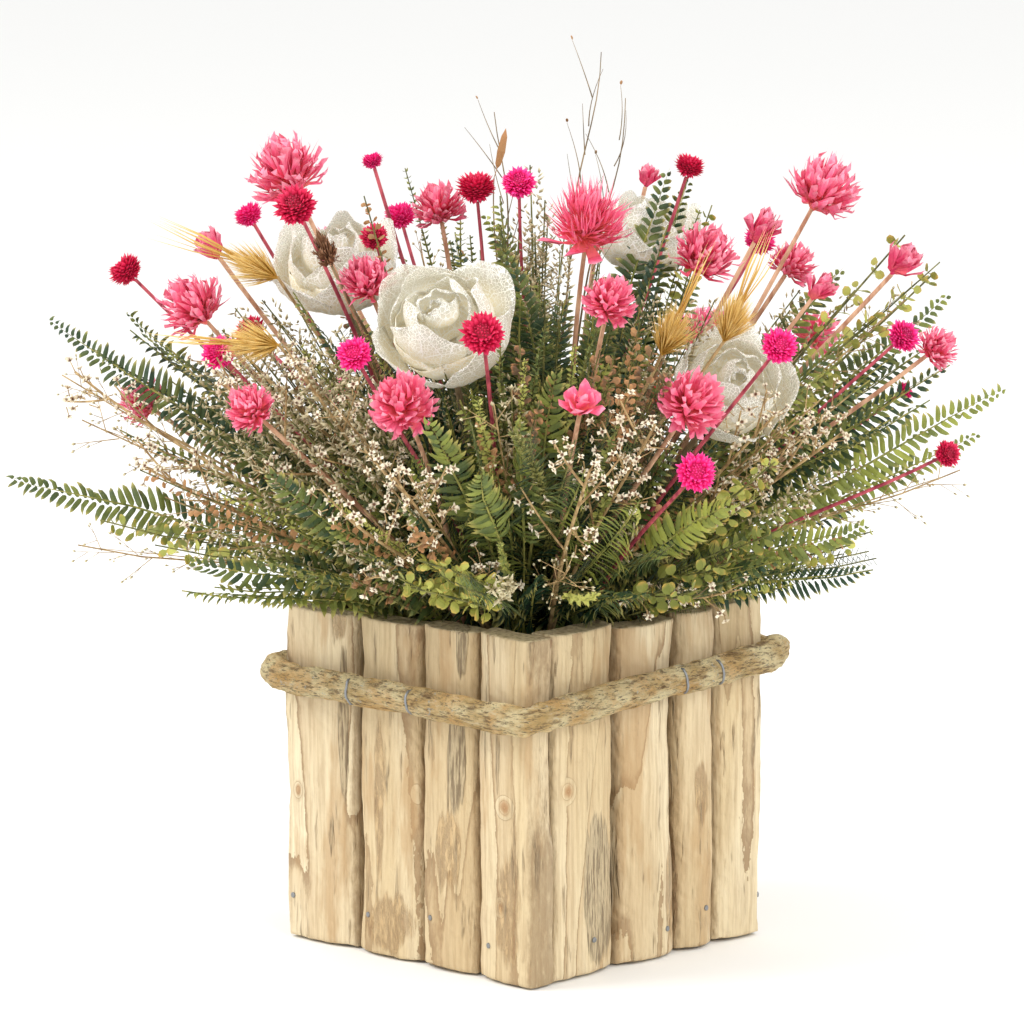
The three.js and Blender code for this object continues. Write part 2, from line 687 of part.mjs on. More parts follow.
function leafyStem(owner, foot, tip, style) {
  const stemBalls = (way) => ballsAlong(way, stemShares(style), style.radius);
  const line = findLine(owner, foot, tip, stemBalls, (way) => leavesOn(way, style).flatMap(leafBalls));
  const shape = newShape();
  const ring = ringRound(line.getPoint(0), line.getTangent(0), style.radius, 3, style.facing);
  const base = addPoints(shape, ring);
  closeFlat(shape, base.toReversed());
  growStem(owner, shape, base, line, style);
  return shape;
}

// Draws one triangle of a stem out to a leaf's tip, by way of a broad middle where the leaf has a width.
function pullLeaf(shape, face, { root, tip, direction }, width) {
  const [left, right, ridge] = shape.faces[face];
  shape.faces[face] = null;
  if (width === 0) {
    closeInPoint(shape, [left, right, ridge], tip);
    return;
  }
  const across = squareTo(direction, shape.points[right].clone().sub(shape.points[left]));
  const rise = new THREE.Vector3().crossVectors(direction, across);
  const broad = root.clone().lerp(tip, 0.55).addScaledVector(rise, -leafThickness / 2);
  const ring = addPoints(shape, [
    broad.clone().addScaledVector(across, -width / 2),
    broad.clone().addScaledVector(across, width / 2),
    broad.clone().addScaledVector(rise, leafThickness),
  ]);
  bridge(shape, [left, right, ridge], ring);
  closeInPoint(shape, ring, tip);
}

// A wiry stem; at each fork a twig set with short pointed florets goes on from one of its sides.
function staticeShape(owner, foot, tip) {
  const forkEnds = staticeForks.flatMap((share) => [share - staticeForkHalf, share + staticeForkHalf]);
  const shares = [0, 0.25, ...forkEnds, 1];
  const line = findLine(owner, foot, tip, (way) => ballsAlong(way, shares, 1.5));
  settle(owner, ballsAlong(line, shares, 1.1));
  const shape = newShape();
  const start = sideStart(line.getTangent(0.5));
  const rings = shares.map((share) => (
    addPoints(shape, ringRound(line.getPoint(share), line.getTangent(share), 1.2 - 0.5 * share, 3, start))
  ));
  closeFlat(shape, rings[0].toReversed());
  closeFlat(shape, rings.at(-1));
  const sides = rings.slice(1).map((ring, i) => bridge(shape, rings[i], ring));
  staticeForks.forEach((share, fork) => {
    const length = 36 - 4 * fork;
    const tries = [0, 1, 2].flatMap((side) => staticeLeans.map((lean) => [(side + fork) % 3, lean]));
    for (const [side, lean] of tries) {
      const face = sides[2 * fork + 2][side];
      const corners = shape.faces[face].map((k) => shape.points[k]);
      const root = middleOf(shape, shape.faces[face]);
      const direction = new THREE.Triangle(...corners).getNormal(new THREE.Vector3())
        .addScaledVector(line.getTangent(share), lean).normalize();
      const bend = root.clone().addScaledVector(direction, length / 2);
      const end = bend.clone().addScaledVector(direction, length / 2).addScaledVector(up, length / 8);
      const twig = new THREE.QuadraticBezierCurve3(root, bend, end);
      if (countHits(owner, ballsAlong(twig, [0.3, 1], 3)) > 0) continue;
      const base = shape.faces[face];
      shape.faces[face] = null;
      growStem(owner, shape, base, twig, { ...staticeTwig, facing: corners[0].clone().sub(root) });
      break;
    }
  });
  return shape;
}

function buildPlants() {
  const plants = [];
  const tipsOf = (heads) => heads.map(([u, v, near]) => spot(u, v, near));
  const list = (name, groups, make) => groups.forEach((group, i) => {
    plants.push({ name: groups.length > 1 ? `${name}_${i + 1}` : name, tips: tipsOf(group), group, make });
  });
  const coral = { seat: 0.45, thick: 1.6, thin: 1.3, finish: finishes.coral, head: coralHead };
  const globe = { seat: 0.42, thick: 1.1, thin: 0.8, finish: finishes.magenta, head: globeHead };
  const rose = { seat: 0.45, thick: 1.8, thin: 1.5, finish: finishes.cream, head: roseHead };
  const tail = { seat: 0.5, thick: 0.9, thin: 0.7, finish: finishes.golden, head: tailHead };

  const bunch = (style) => (plant) => buildBunch(plant.name, plant.foot, plant.group, style);
  list("skeleton_rose", skeletonRoses.map((head) => [head]), bunch(rose));
  list("coral_flowers", coralFlowers, bunch(coral));
  list("globe_flowers", globeFlowers, bunch(globe));
  list("golden_tails", [goldenTails.map((head) => [...head, 62])], bunch(tail));
  list("fern_fronds", fernFronds, ({ name, foot, group }) => {
    const shapes = group.map(([u, v, near, bladeLength, halfWidth]) => {
      const tip = spot(u, v, near);
      const facing = near < -60 ? tip.clone().sub(fountain).setZ(90).normalize() : pictureBack;
      const from = 1 - bladeLength / tip.distanceTo(foot);
      const steps = Math.round(bladeLength / leafletPitch);
      return leafyStem(name, foot, tip, { ...fernLeaf, facing, from, steps, length: halfWidth });
    });
    addNode(name, fuse([footShape(foot), ...shapes]), finishes.fern);
  });
  list("statice_spray", staticeSprays, ({ name, foot, group }) => {
    const shapes = group.map((target) => staticeShape(name, foot, spot(...target)));
    addNode(name, fuse([footShape(foot), ...shapes]), finishes.statice);
  });
  const leafy = (style, finish) => ({ name, foot, group }) => {
    const shapes = group.map((target) => leafyStem(name, foot, spot(...target), style));
    addNode(name, fuse([footShape(foot), ...shapes]), finish);
  };
  list("round_leaf_spray", roundLeafSprays, leafy(roundLeaf, finishes.roundLeaf));
  list("bare_twigs", [bareTwigs], ({ name, foot, group }) => {
    const shapes = group.map((target) => {
      const stations = taper(1.2, 0.4, 5);
      const ballsOn = (way) => ballsAlong(way, stations.map(([share]) => share), 1.2);
      const line = findLine(name, foot, spot(...target), ballsOn);
      settle(name, ballsOn(line));
      return stalk(line, stations);
    });
    addNode(name, fuse([footShape(foot), ...shapes]), finishes.twig);
  });
  list("heath_stems", [heathStems], leafy(heathLeaf, finishes.heath));

  const feet = spreadFeet(plants.map((plant) => plant.tips));
  plants.forEach((plant, i) => { plant.foot = feet[i]; });
  for (const { name, group, make, foot } of plants) {
    settle(name, [{ at: foot, radius: footRadius }]);
    if (group[0].length !== 4) continue;
    group.forEach(([u, v, near, pixels]) => {
      settle(name, [{ at: spot(u, v, near), radius: pixels * millimetresPerPixel * 0.5 }]);
    });
  }
  plants.forEach((plant) => plant.make(plant));
  return feet;
}

// Feet stand below their tips' side of the planter, then push each other apart.
function spreadFeet(tipsOfPlants) {
  const feet = tipsOfPlants.map((tips) => {
    const mean = tips.reduce((sum, tip) => sum.add(tip), new THREE.Vector3()).divideScalar(tips.length);
    const reach = Math.hypot(mean.x, mean.y);
    const share = footReach * 1.4 / (reach + mean.z - foamTop);
    return new THREE.Vector3(mean.x * share, mean.y * share, foamTop + 2);
  });
  for (let round = 0; round < 200; round++) {
    for (let i = 0; i < feet.length; i++) {
      for (let j = 0; j < i; j++) {
        const apart = feet[i].clone().sub(feet[j]);
        const shortfall = footSpacing - apart.length();
        if (shortfall <= 0) continue;
        apart.normalize().multiplyScalar(shortfall / 2);
        feet[i].add(apart);
        feet[j].sub(apart);
      }
    }
    feet.forEach((foot) => {
      foot.x = THREE.MathUtils.clamp(foot.x, -footReach, footReach);
      foot.y = THREE.MathUtils.clamp(foot.y, -footReach, footReach);
    });
  }
  return feet;
}

buildSlats();
buildVine();
const feet = buildPlants();
buildInside(feet);

export default arrangement;
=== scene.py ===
import math

import bmesh
import bpy
import numpy as np
from mathutils import Matrix, Vector


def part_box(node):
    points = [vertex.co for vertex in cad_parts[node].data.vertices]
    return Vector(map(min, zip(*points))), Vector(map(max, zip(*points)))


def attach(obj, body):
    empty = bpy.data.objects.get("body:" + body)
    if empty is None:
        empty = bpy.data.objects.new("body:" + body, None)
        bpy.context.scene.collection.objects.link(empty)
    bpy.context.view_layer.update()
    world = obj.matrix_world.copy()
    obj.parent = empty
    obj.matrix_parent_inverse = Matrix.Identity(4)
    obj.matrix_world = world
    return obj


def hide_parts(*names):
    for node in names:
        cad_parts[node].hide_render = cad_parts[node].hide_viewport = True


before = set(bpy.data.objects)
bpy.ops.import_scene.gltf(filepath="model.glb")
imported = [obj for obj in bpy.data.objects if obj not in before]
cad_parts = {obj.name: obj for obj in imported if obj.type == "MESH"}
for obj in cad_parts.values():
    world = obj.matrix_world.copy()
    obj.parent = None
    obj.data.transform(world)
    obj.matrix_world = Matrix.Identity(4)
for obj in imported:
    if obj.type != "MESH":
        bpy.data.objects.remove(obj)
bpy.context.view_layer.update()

metre = 0.001  # plants and timber are worked out in millimetres and brought to metres at the end
onward = Matrix.Scale(metre, 4)


# Drawing tools: selection, joining and copies

def addObject(name, data):
    made = bpy.data.objects.new(name, data)
    bpy.context.scene.collection.objects.link(made)
    return made


def deselectAll():
    if bpy.context.mode != "OBJECT":
        bpy.ops.object.mode_set(mode="OBJECT")
    bpy.ops.object.select_all(action="DESELECT")


def activate(piece):
    deselectAll()
    piece.select_set(True)
    bpy.context.view_layer.objects.active = piece


def edit(piece):
    activate(piece)
    bpy.ops.object.mode_set(mode="EDIT")
    bpy.ops.mesh.select_all(action="SELECT")


def done():
    bpy.ops.object.mode_set(mode="OBJECT")
    return bpy.context.object


def pick(piece, test, kind="verts"):
    # Selects only what passes the test, in edit mode
    shape = bmesh.from_edit_mesh(piece.data)
    bpy.ops.mesh.select_mode(type={"verts": "VERT", "edges": "EDGE"}[kind])
    bpy.ops.mesh.select_all(action="DESELECT")
    for item in getattr(shape, kind):
        if test(item):
            item.select_set(True)
    shape.select_flush_mode()
    bmesh.update_edit_mesh(piece.data)


def applyModifier(piece, kind, **settings):
    activate(piece)
    modifier = piece.modifiers.new(kind.title(), kind)
    for name, value in settings.items():
        setattr(modifier, name, value)
    bpy.ops.object.modifier_apply(modifier=modifier.name)


def roughen(piece, scale, strength):
    # Pushes a surface in and out by clouds of a size
    clouds = bpy.data.textures.new("relief", "CLOUDS")
    clouds.noise_scale = scale
    applyModifier(piece, "DISPLACE", texture=clouds, strength=strength, mid_level=0.5)


def cutAcross(place, normal):
    bpy.ops.mesh.select_all(action="SELECT")
    bpy.ops.mesh.bisect(plane_co=place, plane_no=normal)


def pointsOf(piece):
    points = np.empty(len(piece.data.vertices) * 3)
    piece.data.vertices.foreach_get("co", points)
    return points.reshape(-1, 3)


def setPoints(piece, points):
    piece.data.vertices.foreach_set("co", np.asarray(points, float).ravel())
    piece.data.update()


def setLevel(piece, name, values):
    # A number on every point, which the finishes read
    level = piece.data.attributes.get(name) or piece.data.attributes.new(name, "FLOAT", "POINT")
    level.data.foreach_set("value", np.broadcast_to(np.asarray(values, np.float32), len(piece.data.vertices)))


def levelOf(piece, name):
    values = np.zeros(len(piece.data.vertices), np.float32)
    if name in piece.data.attributes:
        piece.data.attributes[name].data.foreach_get("value", values)
    return values


def crumple(piece, amount, waves):
    # Pushes points about in a few crossing waves
    points = pointsOf(piece)
    for k, wave in enumerate(waves):
        phase = points[:, [1, 2, 0]] * wave + points[:, [2, 0, 1]] * wave * 0.7 + (k, 2 * k + 1, 3 * k + 2)
        points = points + amount / (k + 1) * np.sin(phase)
    setPoints(piece, points)
    return piece


def smooth(piece):
    activate(piece)
    bpy.ops.object.shade_smooth()


def turnTo(direction, axis="Z"):
    return Vector(direction).to_track_quat(axis, "Y").to_matrix().to_4x4()


def copyOf(template, matrix, tone=0.0):
    # A copy with a mesh of its own, its place in the mesh
    piece = addObject(template.name + "Copy", template.data.copy())
    piece.data.transform(matrix)
    setLevel(piece, "tone", levelOf(piece, "tone") + tone)
    return piece


def joinAll(name, pieces):
    deselectAll()
    for piece in pieces:
        piece.select_set(True)
    bpy.context.view_layer.objects.active = pieces[0]
    if len(pieces) > 1:
        bpy.ops.object.join()
    pieces[0].name = name
    pieces[0].data.name = name
    return pieces[0]


def handIn(piece, slot, nodes=()):
    # Gives a finished piece its place in the frame
    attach(piece, "root")
    if nodes:
        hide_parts(*nodes)
    return piece


seeds = {"coral": 210, "globe": 31, "tail": 47, "rose": 88, "fronds": 500, "plainFrond": 510,
         "statice": 340, "wisp": 350, "sprigs": 700, "plants": 900, "filling": 61, "nails": 19}
templates = []


def keepTemplate(piece, name):
    piece.name = name
    piece.hide_render = True
    templates.append(piece)
    return piece


def drawer(seed):
    state = seed * 7919 + 17

    def draw(low=0.0, high=1.0):
        nonlocal state
        state = (state * 1103515245 + 12345) % 2147483648
        return low + (high - low) * state / 2147483648
    return draw


# The photograph's view

view = {
    "pixel": 0.445,  # millimetres to a pixel at the planter's axis
    "axisU": 525.0,
    "axisV": 933.5,
    "middle": 512.0,
    "turn": math.radians(44),
    "rise": math.radians(10),
    "reach": 3300.0,
    "sensor": 36.0,
}
up = np.array([0.0, 0.0, 1.0])
towardEye = np.array([math.sin(view["turn"]), -math.cos(view["turn"]), 0.0])
pictureRight = np.array([math.cos(view["turn"]), math.sin(view["turn"]), 0.0])
pictureBack = towardEye * math.cos(view["rise"]) + up * math.sin(view["rise"])
pictureUp = np.cross(pictureBack, pictureRight)
eye = (pictureBack * view["reach"]
       + pictureRight * (view["middle"] - view["axisU"]) * view["pixel"]
       + pictureUp * (view["axisV"] - view["middle"]) * view["pixel"])


def rayAt(u, v):
    onPicture = (pictureRight * (u - view["axisU"]) + pictureUp * (view["axisV"] - v)) * view["pixel"]
    return onPicture - eye


def spot(u, v, near):
    # The point that shows at a pixel, so many millimetres in front of the planter's axis
    ray = rayAt(u, v)
    return eye + ray * ((near - eye @ towardEye) / (ray @ towardEye))


def pixelsOf(points):
    # Where points show in the photograph, and how far in front of the planter's axis they are
    rays = points - eye
    onPicture = eye + rays * (-(eye @ pictureBack) / (rays @ pictureBack))[:, None]
    return (view["axisU"] + onPicture @ pictureRight / view["pixel"],
            view["axisV"] - onPicture @ pictureUp / view["pixel"], points @ towardEye)


def addCamera():
    lens = bpy.data.cameras.new("camera")
    lens.sensor_width = view["sensor"]
    lens.lens = view["sensor"] * view["reach"] / (2 * view["middle"] * view["pixel"])
    lens.clip_end = 20
    camera = addObject("camera", lens)
    turn = Matrix((pictureRight, pictureUp, pictureBack)).transposed().to_4x4()
    camera.matrix_world = Matrix.Translation(Vector(eye * metre)) @ turn
    bpy.context.scene.camera = camera


# Materials: sums on sockets are written as Python sums

class Level:
    def __init__(self, finish, socket):
        self.finish = finish
        self.socket = socket

    def sum(self, operation, first, second=None):
        values = {0: first} if second is None else {0: first, 1: second}
        return self.finish.node("ShaderNodeMath", {"operation": operation}, values)

    def __add__(self, other):
        return self.sum("ADD", self, other)

    def __radd__(self, other):
        return self.sum("ADD", other, self)

    def __sub__(self, other):
        return self.sum("SUBTRACT", self, other)

    def __rsub__(self, other):
        return self.sum("SUBTRACT", other, self)

    def __mul__(self, other):
        return self.sum("MULTIPLY", self, other)

    def __pow__(self, other):
        return self.sum("POWER", self, other)

    def __abs__(self):
        return self.sum("ABSOLUTE", self)


class Finish:
    def __init__(self, name, **constants):
        self.material = bpy.data.materials.new(name)
        self.material.use_nodes = True
        self.tree = self.material.node_tree
        self.shader = self.tree.nodes["Principled BSDF"]
        for socket, value in constants.items():
            self.shader.inputs[socket.replace("_", " ")].default_value = value

    def put(self, socket, value):
        if isinstance(value, Level):
            self.tree.links.new(value.socket, socket)
        else:
            socket.default_value = value

    def node(self, kind, settings=None, values=None, take=0):
        made = self.tree.nodes.new(kind)
        for name, value in (settings or {}).items():
            setattr(made, name, value)
        for key, value in (values or {}).items():
            self.put(made.inputs[key], value)
        return Level(self, made.outputs[take])

    def feed(self, **links):
        for socket, value in links.items():
            self.put(self.shader.inputs[socket.replace("_", " ")], value)
        return self

    def place(self, stretch=(1.0, 1.0, 1.0), shift=(0.0, 0.0, 0.0)):
        where = self.node("ShaderNodeTexCoord", take="Object")
        return self.node("ShaderNodeMapping", None, {"Vector": where, "Location": shift, "Scale": stretch})

    def noise(self, scale, stretch=(1.0, 1.0, 1.0), detail=4.0, roughness=0.55, distortion=0.0):
        return self.node("ShaderNodeTexNoise", None, {
            "Vector": self.place(stretch), "Scale": scale, "Detail": detail,
            "Roughness": roughness, "Distortion": distortion,
        })

    def cells(self, scale, feature="DISTANCE_TO_EDGE"):
        return self.node("ShaderNodeTexVoronoi", {"feature": feature}, {
            "Vector": self.place(), "Scale": scale,
        })

    def near(self, place, half):
        # 1 at a place, down to 0 at half sizes from it, all in millimetres
        stretch = tuple(1 / (size * metre) for size in half)
        shift = tuple(-p * metre * s for p, s in zip(place, stretch))
        moved = self.place(stretch, shift)
        length = self.node("ShaderNodeVectorMath", {"operation": "LENGTH"}, {0: moved}, take="Value")
        return self.larger(1 - length, 0.0)

    def larger(self, first, second):
        return self.node("ShaderNodeMath", {"operation": "MAXIMUM"}, {0: first, 1: second})

    def level(self, name):
        return self.node("ShaderNodeAttribute", {"attribute_name": name}, take="Fac")

    def band(self, value, low, high, first=0.0, last=1.0):
        return self.node("ShaderNodeMapRange", {"interpolation_type": "SMOOTHSTEP"}, {
            "Value": value, "From Min": low, "From Max": high, "To Min": first, "To Max": last,
        })

    def mix(self, share, first, second):
        colour = [(*c, 1.0) if isinstance(c, tuple) else c for c in (first, second)]
        return self.node("ShaderNodeMix", {"data_type": "RGBA"}, {
            "Factor": share, 6: colour[0], 7: colour[1],
        }, take=2)

    def bump(self, height, strength, distance):
        return self.node("ShaderNodeBump", None, {
            "Height": height, "Strength": strength, "Distance": distance,
        })


def tint(red, green, blue):
    # A colour as the eye names it, 0 to 255, as the light value that nodes want
    return tuple((c / 255) ** 2.2 for c in (red, green, blue))


def petalFinish(name, root, tip, deep, pale, brown=(0.05, 0.75), streak=700.0):
    # Papery petal: colour runs from its root to its tip, with fine streaks and lighter and darker petals
    finish = Finish(name, Roughness=0.65)
    reach = finish.level("reach")
    base = finish.mix(finish.band(reach, *brown), root, tip)
    grain = finish.noise(streak, (1, 1, 0.35), 2.0)
    shade = finish.mix(finish.band(finish.level("tone") + grain * 0.6, 0.1, 0.8), deep, base)
    shade = finish.mix(finish.band(reach + grain * 0.5, 0.78, 1.35, 0.0, 0.8), shade, pale)
    return finish.feed(Base_Color=shade, Normal=finish.bump(grain, 0.3, 0.0003))


def leafFinish(name, dark, light, dry, roughness=0.6):
    # Dried leaf: its own tone, patchy, with dry tips
    finish = Finish(name, Roughness=roughness)
    patch = finish.noise(90.0, detail=2.0)
    green = finish.mix(finish.band(finish.level("tone") + patch * 0.5, 0.1, 1.15), dark, light)
    tips = finish.band(finish.level("reach") + finish.noise(60.0, detail=2.0) * 0.6, 0.95, 1.4)
    fine = finish.noise(1400.0, detail=0.0)
    return finish.feed(Base_Color=finish.mix(tips, green, dry), Normal=finish.bump(fine, 0.3, 0.0003))


def stemFinish(name, dark, light, scale=260.0):
    finish = Finish(name, Roughness=0.7)
    streak = finish.noise(scale, (1, 1, 0.25), 2.0)
    return finish.feed(Base_Color=finish.mix(finish.band(streak, 0.3, 0.7), dark, light),
                       Normal=finish.bump(streak, 0.5, 0.0004))


def laceFinish():
    # Skeleton leaf: a fine net of veins with thin film between them, and a faint painted glow that stands in
    # for light shining through it
    # The emission strength is a painted glow: the petals give off a little light of their own, as if lit from
    # behind
    finish = Finish("skeletonLeaf", Roughness=0.6, Emission_Strength=0.04)
    net = 1 - finish.band(finish.cells(560.0), 0.02, 0.09)
    veins = 1 - finish.band(finish.cells(120.0), 0.008, 0.03)
    lines = finish.larger(net, veins)
    cloud = finish.noise(45.0)
    rim = finish.band(finish.level("reach"), 0.3, 0.9)
    film = 0.98 - rim * finish.band(cloud, 0.3, 0.6, 0.3, 0.62)
    cell = finish.mix(rim, tint(236, 225, 194), tint(226, 223, 208))
    cell = finish.mix(finish.band(cloud, 0.45, 0.7), cell, tint(242, 238, 222))
    return finish.feed(Base_Color=finish.mix(lines, cell, tint(248, 247, 240)),
                       # Painted glow colour: warmer toward the middle, whiter toward the rim
                       Emission_Color=finish.mix(rim, tint(252, 242, 210), tint(250, 250, 242)),
                       Alpha=finish.larger(lines, film), Normal=finish.bump(lines, 0.2, 0.0003))


# Knots as (u, v, side, half width, half height), seen in the photograph, the halves in millimetres
knotSpots = [(414, 796, 0, 5, 8), (504, 808, 0, 5.5, 6), (570, 792, 1, 5.5, 6.5), (500, 908, 0, 3.5, 5),
             (298, 790, 0, 4, 5.5)]


def onFace(u, v, out):
    # Where a pixel's ray meets a side of the planter
    ray = rayAt(u, v)
    return eye + ray * ((75.0 - eye @ out) / (ray @ out))


def woodFinish():
    # Peeled split wood: cream, with soft tan patches, flame-like grain, knots, bark remnants and worn ends,
    # and painted shade along its long edges
    finish = Finish("peeledWood", Roughness=0.72)
    own = finish.level("tone")
    shifted = finish.node("ShaderNodeCombineXYZ", None, {0: own * 3, 1: own * 5, 2: own * 7})
    grainPlace = finish.node("ShaderNodeVectorMath", {"operation": "ADD"}, {0: finish.place(), 1: shifted})

    def grain(scale, stretch, detail=4.0, roughness=0.55, distortion=0.0):
        lengthwise = finish.node("ShaderNodeMapping", None, {"Vector": grainPlace, "Scale": stretch})
        return finish.node("ShaderNodeTexNoise", None, {
            "Vector": lengthwise, "Scale": scale, "Detail": detail, "Roughness": roughness,
            "Distortion": distortion,
        })

    across = finish.level("across")
    knots = 0.0
    for u, v, side, halfWidth, halfHeight in knotSpots:
        out = np.array([1.0, 0.0, 0.0] if side else [0.0, -1.0, 0.0])
        knots = knots + finish.near(onFace(u, v, out), (halfWidth, halfWidth, halfHeight))
    broad = grain(26.0, (1, 1, 0.14), 3.0, 0.5, 0.4)
    wood = finish.mix(finish.band(broad, 0.32, 0.68), tint(214, 192, 150), tint(236, 220, 184))
    wood = finish.mix(finish.band(finish.level("tone"), 0.35, 0.9, 0.0, 0.34), wood, tint(194, 166, 122))
    # Growth layers laid open by the peeling: terraces with a dark edge that run round the knots
    ruffle = grain(420.0, (1, 1, 0.35), 3.0, 0.65)
    height = (grain(22.0, (1, 1, 0.13), 2.0, 0.45, 0.6) + across * across * 0.1
              + knots * 0.42 + ruffle * 0.03)
    layer = finish.node("ShaderNodeMath", {"operation": "FRACT"}, {0: height * 6.0})
    clear = finish.band(broad, 0.3, 0.55, 0.5, 1.0)
    wood = finish.mix(layer ** 2.0 * 0.46 * clear, wood, tint(176, 140, 94))
    wood = finish.mix(finish.band(layer, 0.88, 0.98) * 0.6 * clear, wood, tint(122, 90, 58))
    fibre = grain(520.0, (1, 1, 0.045), 4.0, 0.65)
    wood = finish.mix(finish.band(fibre, 0.35, 0.72) * 0.42, wood, tint(152, 120, 82))
    chatter = finish.node("ShaderNodeTexWave", {"wave_type": "BANDS", "bands_direction": "DIAGONAL"}, {
        "Vector": grainPlace, "Scale": 60.0, "Distortion": 6.0, "Detail": 3.0, "Detail Scale": 1.5,
    }, take="Fac")
    stain = finish.band(grain(46.0, (1, 1, 0.2), 4.0, 0.65), 0.53, 0.64)
    wood = finish.mix(stain * 0.5, wood, tint(178, 140, 94))
    wood = finish.mix(finish.band(knots + (ruffle - 0.5) * 0.5, 0.3, 0.8) * 0.7, wood, tint(164, 116, 70))
    streak = grain(240.0, (1, 1, 0.1), 3.0, 0.65)
    rust = finish.band(finish.level("rust") + (streak - 0.5) * 1.9, 0.15, 0.5)
    flaked = finish.band(grain(460.0, (1, 1, 0.2), 4.0, 0.7), 0.38, 0.62)
    wood = finish.mix(rust * 0.55, wood, finish.mix(flaked, tint(140, 104, 66), tint(202, 166, 116)))
    furrow = grain(900.0, (1, 1, 0.06), 3.0, 0.65)
    worn = finish.band(finish.level("bark") + (streak - 0.5) * 1.3, 0.12, 0.35)
    remnant = finish.mix(finish.band(furrow, 0.42, 0.56), tint(118, 100, 76), tint(198, 178, 142))
    wood = finish.mix(worn * 0.8, wood, remnant)
    # Painted shade: darker towards the billet's long edges and over its sides, where the billets meet
    edgeShade = finish.band(abs(across) + (ruffle - 0.5) * 0.35, 0.84, 1.06)
    wood = finish.mix(edgeShade * 0.6, wood, tint(126, 98, 66))
    normal = finish.node("ShaderNodeNewGeometry", take="Normal")
    upward = finish.node("ShaderNodeSeparateXYZ", None, {0: normal}, take=2)
    ends = finish.mix(finish.band(finish.noise(420.0), 0.4, 0.7), tint(216, 198, 160), tint(166, 144, 110))
    wood = finish.mix(finish.band(upward, 0.5, 0.8), wood, ends)
    relief = (fibre * 0.6 + furrow * worn * 2.2 + ruffle * 0.5 + rust * flaked * 0.7 + layer * clear * 0.6
              + chatter * 0.25)
    return finish.feed(Base_Color=wood, Normal=finish.bump(relief, 0.85, 0.0012))


def barkFinish():
    # Rough tan bark, its fibres along the branch, with orange and grey patches; darker in its grooves and
    # paler on its raised fibres, partly its own colour and partly painted shade and highlight
    finish = Finish("vineBark", Roughness=0.9)
    patch = finish.noise(110.0, (0.5, 0.5, 1), 6.0, 0.65)
    base = finish.mix(finish.band(patch, 0.36, 0.64), tint(214, 178, 116), tint(254, 236, 184))
    rust = finish.band(finish.noise(60.0, detail=6.0, roughness=0.6), 0.48, 0.62)
    base = finish.mix(rust * 0.55, base, tint(228, 176, 106))
    fibre = finish.noise(520.0, (0.2, 0.2, 1), 5.0, 0.75)
    # Darker on the low fibres and paler on the high ones, from the same noise as the relief: partly the
    # bark's own colour, partly painted shade and highlight
    base = finish.mix(finish.band(fibre, 0.34, 0.5, 0.85, 0.0), base, tint(126, 96, 62))
    base = finish.mix(finish.band(fibre, 0.55, 0.7, 0.0, 0.6), base, tint(250, 234, 196))
    # Dark cracks follow the relief's grooves: partly the bark's own colour, partly painted shade
    crack = finish.noise(1100.0, (0.2, 0.2, 1), 4.0, 0.75)
    base = finish.mix(finish.band(crack, 0.36, 0.47, 0.85, 0.0), base, tint(112, 84, 54))
    lichen = finish.band(finish.noise(230.0, detail=6.0, roughness=0.7), 0.62, 0.67)
    base = finish.mix(lichen * 0.55, base, tint(206, 206, 196))
    flake = finish.noise(340.0, (0.45, 0.45, 1), 5.0, 0.75)
    relief = fibre * 1.1 + flake * 1.4 + crack * 0.5
    return finish.feed(Base_Color=base, Normal=finish.bump(relief, 1.0, 0.0036))


def steelFinish():
    finish = Finish("zincSteel", Metallic=0.85)
    rub = finish.noise(900.0)
    return finish.feed(Base_Color=finish.mix(rub, tint(112, 114, 116), tint(170, 172, 174)),
                       Roughness=finish.band(rub, 0.3, 0.7, 0.35, 0.6))


def foamFinish():
    finish = Finish("floralFoam", Roughness=0.95)
    pores = finish.cells(900.0, "F1")
    return finish.feed(Base_Color=finish.mix(pores, tint(22, 28, 22), tint(48, 58, 46)),
                       Normal=finish.bump(pores, 0.7, 0.001))


def boardFinish():
    finish = Finish("baseBoard", Roughness=0.8)
    grain = finish.noise(90.0, (0.12, 1, 1), 4.0, 0.6, 0.8)
    sawn = finish.mix(finish.band(grain, 0.3, 0.7), tint(190, 158, 112), tint(216, 190, 146))
    return finish.feed(Base_Color=sawn, Normal=finish.bump(grain, 0.4, 0.0006))


